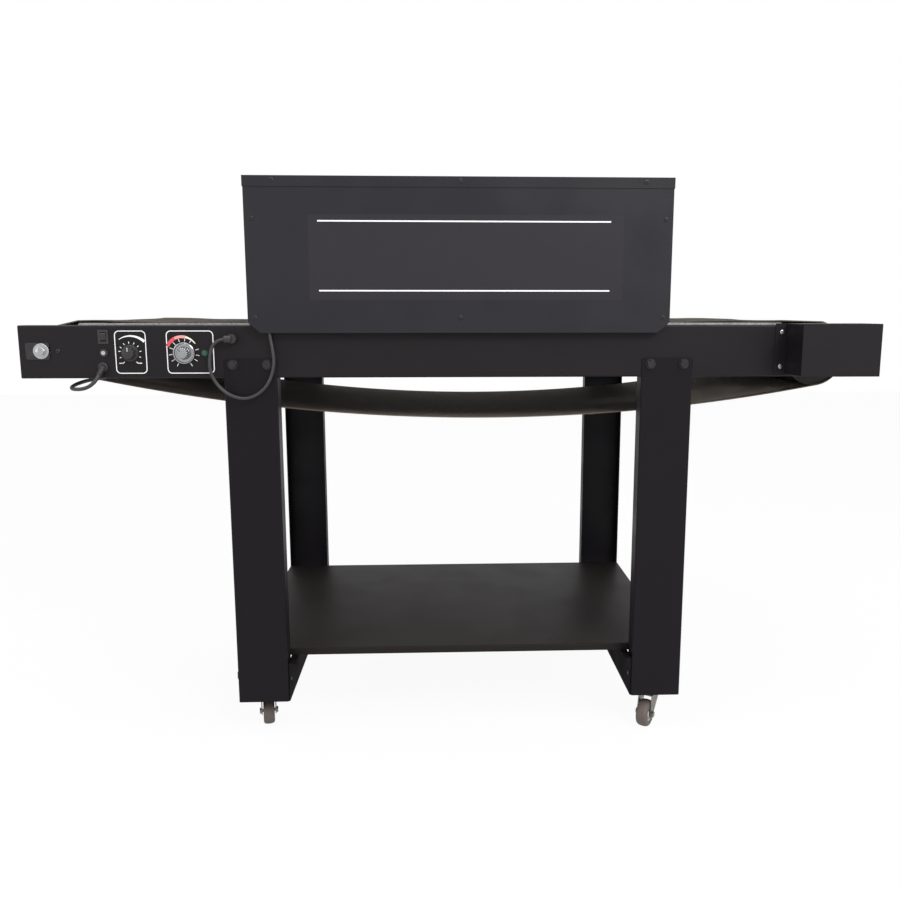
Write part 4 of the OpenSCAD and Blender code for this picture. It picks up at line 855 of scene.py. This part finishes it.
bolt_pitch = 0.074
bolt_z = 0.86242
bolt_flats = 0.017
bolt_washer = [(0.011, 0), (0.011, 0.0012), (0.0104, 0.0016), (0, 0.0016)]
bolt_head_h = 0.006
nut_h = 0.008
nut_from = 0.3723
bolt_end = [(0.005, 0), (0.005, 0.012), (0.0042, 0.013), (0, 0.013)]
rear_leg = corners(nodes["rear_left_leg"])
bolt_parts = []
for out, face in ((-1, left_leg[0].y), (1, rear_leg[1].y)):
    axis = (0, out, 0)
    inward = (0, -out, 0)
    for leg in (left_leg, right_leg):
        for dx in (-bolt_pitch / 2, bolt_pitch / 2):
            x = (leg[0].x + leg[1].x) / 2 + dx
            head = (x, face + out * bolt_washer[-1][1], bolt_z)
            nut = (x, mid_y + out * nut_from, bolt_z)
            bolt_parts.append(turned(bolt_washer, (x, face, bolt_z), axis))
            bolt_parts.append(hex_head(bolt_flats, bolt_head_h, head, axis, dx * 9))
            bolt_parts.append(hex_head(bolt_flats, nut_h, nut, inward, dx * 5))
            bolt_parts.append(turned(bolt_end, nut, inward, 20))
panel_screw = [(0.005, 0), (0.0048, 0.0010), (0.0036, 0.0017), (0, 0.0018)]
panel_screw_y = 0.355
panel_screw_z = 0.1347
side_panel_t = 0.0025
for x, out in ((left_leg[1].x + side_panel_t, 1), (right_leg[0].x - side_panel_t, -1)):
    for y in (mid_y - panel_screw_y, mid_y + panel_screw_y):
        bolt_parts.append(turned(panel_screw, (x, y, panel_screw_z), (out, 0, 0), 24))
bolts = faced("frame_fasteners", *joined(bolt_parts), black_oxide, slot="dark_bolt")
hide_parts("frame_bolts")


# Leads and glands. The hood's lead leaves an elbow gland on the rail, hangs in a loop over the
# leg and goes up behind the hood's front panel into the heating chamber.
vinyl = finish("vinyl_jacket", mottled((0.014, 0.0135, 0.014), (0.030, 0.029, 0.030), 40.0, 4.0),
               uneven(0.36, 0.50, 60.0))
black_moulding = finish("black_moulding", mottled((0.012, 0.012, 0.0125), (0.024, 0.0235, 0.024), 50.0, 4.0),
                        0.48, specular=0.45, bump=grain(900.0, 2.0), bump_depth=0.00008)
mains_cord.data.materials.append(vinyl)
lead_mm = [
    (-478, -357, 917.5), (-487.6, -357.3, 915.8), (-496, -358, 910.9), (-502.2, -359, 903.5),
    (-506, -360, 894), (-508.5, -361, 880), (-509.5, -361.5, 866), (-508.5, -362, 852), (-504.5, -362, 838.5),
    (-496, -362, 823.5), (-484, -362, 810), (-469.5, -362, 799.7), (-453, -362, 793.3), (-438, -362, 791.6),
    (-422, -362, 795), (-405.5, -361.5, 804.3), (-391.5, -361, 818.2), (-381, -360.5, 837.5),
    (-375.5, -360, 856.8), (-374, -359, 874), (-376, -357.5, 894), (-379.5, -355.5, 914), (-382, -354, 933),
    (-384, -352.5, 958), (-385, -351, 985), (-385, -349, 1015), (-385, -344, 1042), (-385, -334, 1062),
    (-385, -320, 1072), (-385, -306, 1074)]
lead_d = 0.007
lead_points = [Vector(p) / 1000 for p in lead_mm]
lead_path = smooth_path(lead_points, 4)
hood_lead = cable("hood_lead_cable", lead_path, lead_d)
hood_lead.data.materials.append(vinyl)
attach(hood_lead, "frame")
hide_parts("hood_lead")
lead_length = sum((b - a).length for a, b in zip(lead_path, lead_path[1:]))
dress(["hood_lead_glands"], black_moulding)


# Strain relief and plug. The relief is one soft moulding: a flange on the rail, then a ribbed
# sleeve that tapers to the cord. The plug is moulded on the cord, with three brass pins.
flange = [(0.0105, -0.002), (0.0105, 0.0012), (0.0095, 0.002), (0, 0.002)]
rib_count = 5
rib_pitch = 0.0033
rib_depth = 0.0011
sleeve = [(0.0082, 0.0005)]
for i in range(rib_count):
    low = 0.0025 + i * rib_pitch
    r = 0.0079 - 0.00055 * i
    sleeve += [(r, low), (r, low + 0.0017), (r - rib_depth, low + 0.0021), (r - rib_depth, low + 0.0030)]
sleeve += [(0.0052, 0.0192), (0.0050, relief_l), (0, relief_l)]
relief_parts = [turned(flange, relief_base, (0, -1, 0)), turned(sleeve, relief_base, relief_way)]
relief = faced("ribbed_relief", *joined(relief_parts), black_moulding, slot="black_plastic")
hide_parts("mains_strain_relief")
dress(["mains_plug"], black_moulding)
brass = finish("brass", mottled((0.50, 0.36, 0.16), (0.66, 0.50, 0.24), 120.0), 0.3, metal=1.0)
plug = nodes["mains_plug"]
plug.data.materials.append(brass)
pin_l = 0.016
pin_end = corners(plug)[0].y
for face in plug.data.polygons:
    if min((plug.matrix_world @ plug.data.vertices[i].co).y for i in face.vertices) < pin_end + pin_l:
        face.material_index = 1


# Controls. On the rail's printed face: a rocker switch in a bezel, a reset button, the belt's
# speed knob, the thermostat's dial with a plated bezel, and a green pilot light.
ink_t = 0.0002
print_y = rail_face_y - ink_t
red_ink = finish("red_ink", mottled((0.55, 0.045, 0.065), (0.66, 0.085, 0.10), 180.0), 0.42)
pink_ink = finish("pink_ink", mottled((0.70, 0.27, 0.25), (0.78, 0.34, 0.30), 180.0), 0.42)
cream_ink = finish("cream_ink", mottled((0.80, 0.76, 0.58), (0.86, 0.82, 0.66), 180.0), 0.42)


def arc_line(cx, cz, r, first, last, steps):
    """Points on an arc, by degrees that run clockwise from straight up."""
    angles = [math.radians(first + (last - first) * i / steps) for i in range(steps + 1)]
    return [(cx + r * math.sin(a), cz + r * math.cos(a)) for a in angles]


def ticks(cx, cz, r0, r1, angles, width):
    parts = []
    for angle in angles:
        a = math.radians(angle)
        ends = [(cx + r * math.sin(a), cz + r * math.cos(a)) for r in (r0, r1)]
        parts.append(stroke(ends, width, print_y, rail_face_y))
    return parts


dial_z = 0.888014
speed_x = joint_of["speed_knob"]["pos_m"][0]
temp_x = joint_of["temperature_knob"]["pos_m"][0]
frame_z = (0.8450, 0.9350)
frame_r = 0.009
frame_line_w = 0.0019
marks = []
for x0, x1 in ((-0.7125, -0.6480), (-0.6035, -0.5050)):
    marks.append(stroke(rounded(x0, x1, *frame_z, frame_r), frame_line_w, print_y, rail_face_y, closed=True))
speed_arc_steps = 16
speed_arc = arc_line(speed_x + 0.002, dial_z - 0.006, 0.0425, -34, 44, speed_arc_steps)
speed_arc_w = [0.0014 + 0.0042 * i / speed_arc_steps for i in range(speed_arc_steps + 1)]
marks.append(stroke(speed_arc, speed_arc_w, print_y, rail_face_y))
marks += ticks(speed_x, dial_z, 0.0205, 0.0245, [-115, -80, -58, -32, -4, 24, 50, 80, 112], 0.0016)
hook = ((0.0125, 0.0185), (0.0155, 0.0215), (0.0240, 0.0215))
for side in (-1, 1):
    hook_line = [(speed_x + side * x, dial_z - z) for x, z in hook]
    marks.append(stroke(hook_line, 0.0018, print_y, rail_face_y))
marks += ticks(temp_x, dial_z, 0.0250, 0.0325, [-150, -123, -97, -70, -45, -20], 0.0012)
marks += ticks(temp_x, dial_z, 0.0250, 0.0325, [5, 30, 75, 100, 122, 150], 0.0012)
faced("panel_print", *joined(marks), white_ink, slot="gloss_black")
heat_steps = 12
low_heat_w = [0.0044 - 0.0026 * i / heat_steps for i in range(heat_steps + 1)]
for name, r, first, last, steps, width, ink in (("high", 0.0335, -66, -26, 10, 0.0072, red_ink),
                                                ("middle", 0.0338, -26, 14, 10, 0.0060, pink_ink),
                                                ("low", 0.0340, 14, 56, heat_steps, low_heat_w, cream_ink)):
    band = arc_line(temp_x - 0.004, dial_z + 0.001, r, first, last, steps)
    faced("heat_band_" + name, *stroke(band, width, print_y, rail_face_y), ink, slot="gloss_black")


def fluted_knob(centre, skirt_r, grip_r, h, flutes, skirt_h=0.003, crown=0.0012):
    """A skirted knob with rounded flutes, its back on the panel."""
    sides = flutes * 12
    points, faces = [], []
    rows = [(skirt_r, 0.0, 0), (skirt_r, skirt_h * 0.55, 0), (skirt_r * 0.93, skirt_h, 0),
            (grip_r * 1.02, skirt_h * 1.1, 0), (grip_r, skirt_h * 1.5, 1),
            (grip_r * 0.97, h - crown * 1.6, 1), (grip_r * 0.92, h - crown * 0.5, 0.9),
            (grip_r * 0.82, h, 0.5), (grip_r * 0.40, h + crown * 0.1, 0)]
    for r, depth, flute in rows:
        for k in range(sides):
            a = 2 * math.pi * k / sides
            dip = flute * 0.10 * max(0.0, math.cos(flutes * a)) ** 1.5
            points.append((centre[0] + r * (1 - dip) * math.cos(a), centre[1] - depth,
                           centre[2] + r * (1 - dip) * math.sin(a)))
    for row in range(len(rows) - 1):
        for k in range(sides):
            m = (k + 1) % sides
            faces.append((row * sides + k, row * sides + m, (row + 1) * sides + m, (row + 1) * sides + k))
    faces.append(tuple(range((len(rows) - 1) * sides, len(rows) * sides)))
    faces.append(tuple(reversed(range(sides))))
    return points, faces


knob_back = rail_face_y - 0.0003
speed_shape = fluted_knob((speed_x, knob_back, dial_z), 0.018, 0.0133, 0.0165, 10)
speed_knob = faced("fluted_speed_knob", *speed_shape, black_moulding, "speed_knob", "black_plastic")
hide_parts("speed_knob")
pointer = stroke([(speed_x, dial_z + 0.004), (speed_x, dial_z + 0.0122)], 0.0012,
                 knob_back - 0.0169, knob_back - 0.0160)
faced("speed_pointer", *pointer, white_ink, "speed_knob", "black_plastic")

chrome = finish("bright_chrome", (0.36, 0.365, 0.37), uneven(0.16, 0.30, 300.0, 3.0), metal=1.0)
bezel_outline = [(0.0195, 0.0012), (0.0195, 0.0022), (0.0203, 0.0044), (0.0216, 0.0050), (0.0227, 0.0044),
                 (0.0230, 0.0030), (0.0230, 0.0), (0.0140, 0.0), (0.0140, 0.0012), (0.0195, 0.0012)]
bezel_points, bezel_faces = turned(bezel_outline, (temp_x, rail_face_y, dial_z), (0, -1, 0), 64)
dial = faced("thermostat_bezel", bezel_points, bezel_faces[:-2], chrome, slot="chrome")
works_half_w = 0.023
works_half_h = 0.027
works_front_y = rail_face_y + 0.0027
works_back_y = rail_face_y + 0.0297
works_outline = []
for i, k in ((-1, -1), (1, -1), (1, 1), (-1, 1)):
    works_outline.append((temp_x + i * works_half_w, dial_z + k * works_half_h))
spindle = [(0.003, -0.0027), (0.003, 0.0139), (0, 0.0139)]
thermostat = [prism(works_outline, works_front_y, works_back_y),
              turned(spindle, (temp_x, rail_face_y, dial_z), (0, -1, 0), 24)]
thermostat_body = finish("thermostat_body", mottled((0.52, 0.50, 0.44), (0.62, 0.60, 0.54), 40.0), 0.6)
works = faced("thermostat_works", *joined(thermostat), thermostat_body, slot="control_gear")
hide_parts("temperature_control")
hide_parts("temperature_control")
temp_back = knob_back - 0.0012
temp_shape = fluted_knob((temp_x, temp_back, dial_z), 0.0141, 0.0128, 0.0165, 16,
                         skirt_h=0.0022, crown=0.0022)
temp_knob = faced("fluted_temperature_knob", *temp_shape, chrome, "temperature_knob", "chrome")
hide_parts("temperature_knob")
temp_line = stroke([(temp_x - 0.0035, dial_z + 0.0035), (temp_x - 0.0085, dial_z + 0.0085)], 0.0011,
                   temp_back - 0.0171, temp_back - 0.0160)
faced("temperature_pointer", *temp_line, black_moulding, "temperature_knob", "chrome")
dress(["speed_control"], thermostat_body)

gloss_plastic = finish("gloss_plastic", mottled((0.010, 0.010, 0.011), (0.018, 0.018, 0.019), 60.0), 0.22)
button_metal = finish("button_metal", mottled((0.46, 0.46, 0.47), (0.62, 0.62, 0.63), 200.0), 0.28, metal=1.0)
green_lens = finish("green_lens", mottled((0.006, 0.050, 0.026), (0.010, 0.085, 0.045), 60.0), 0.12,
                    specular=0.6)
dress(["power_switch", "circuit_breaker"], black_moulding)
dress(["power_rocker"], gloss_plastic)
dress(["reset_button"], button_metal)
dress(["pilot_light"], green_lens)


# Casters. Pressed zinc-plated plates and forks with a ball race, and grey-brown moulded wheels on
# a hex bolt, with a pale hub.
dress(["caster_plates"], zinc)
fork_zinc = finish("fork_zinc", mottled((0.150, 0.147, 0.132), (0.250, 0.245, 0.225), 60.0, 5.0),
                   uneven(0.28, 0.44, 130.0), metal=1.0)
dress(["front_left_fork", "front_right_fork", "rear_left_fork", "rear_right_fork"], fork_zinc)
tread_rubber = finish("tread_rubber", mottled((0.085, 0.066, 0.058), (0.135, 0.110, 0.098), 60.0, 5.0),
                      0.62, specular=0.35, bump=grain(420.0, 4.0), bump_depth=0.0003)
hub_plastic = finish("hub_plastic", mottled((0.52, 0.49, 0.46), (0.68, 0.65, 0.62), 90.0, 4.0), 0.45)
tyre_half = 0.0130
tyre_r = 0.03175
tyre_side = [(0.0165, tyre_half - 0.0010), (0.0175, tyre_half), (0.0255, tyre_half),
             (0.0288, tyre_half - 0.0012), (0.0308, tyre_half - 0.0040), (0.03165, 0.0040)]
tyre_profile = [(r, -h) for r, h in tyre_side] + [(tyre_r, 0)] + tyre_side[::-1]
hub_side = [(0.0043, 0.0125), (0.0085, 0.0125), (0.0088, 0.0118), (0.0095, 0.0070), (0.0140, 0.0070),
            (0.0148, 0.0112), (0.0166, 0.0118)]
hub_profile = [(r, -h) for r, h in hub_side] + hub_side[::-1]
for corner in ("front_left", "front_right", "rear_left", "rear_right"):
    roll = joint_of[corner + "_wheel"]
    centre, axle = roll["pos_m"], roll["axis"]
    tyre_points, tyre_faces = turned(tyre_profile, centre, axle, 64)
    tyre = faced(corner + "_tyre", tyre_points, tyre_faces[:-2], tread_rubber, corner + "_wheel", "tread")
    hub_points, hub_faces = turned(hub_profile, centre, axle, 48)
    hub = faced(corner + "_hub", hub_points, hub_faces[:-2], hub_plastic, corner + "_wheel", "tread")
    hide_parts(corner + "_wheel")
    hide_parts(corner + "_wheel")
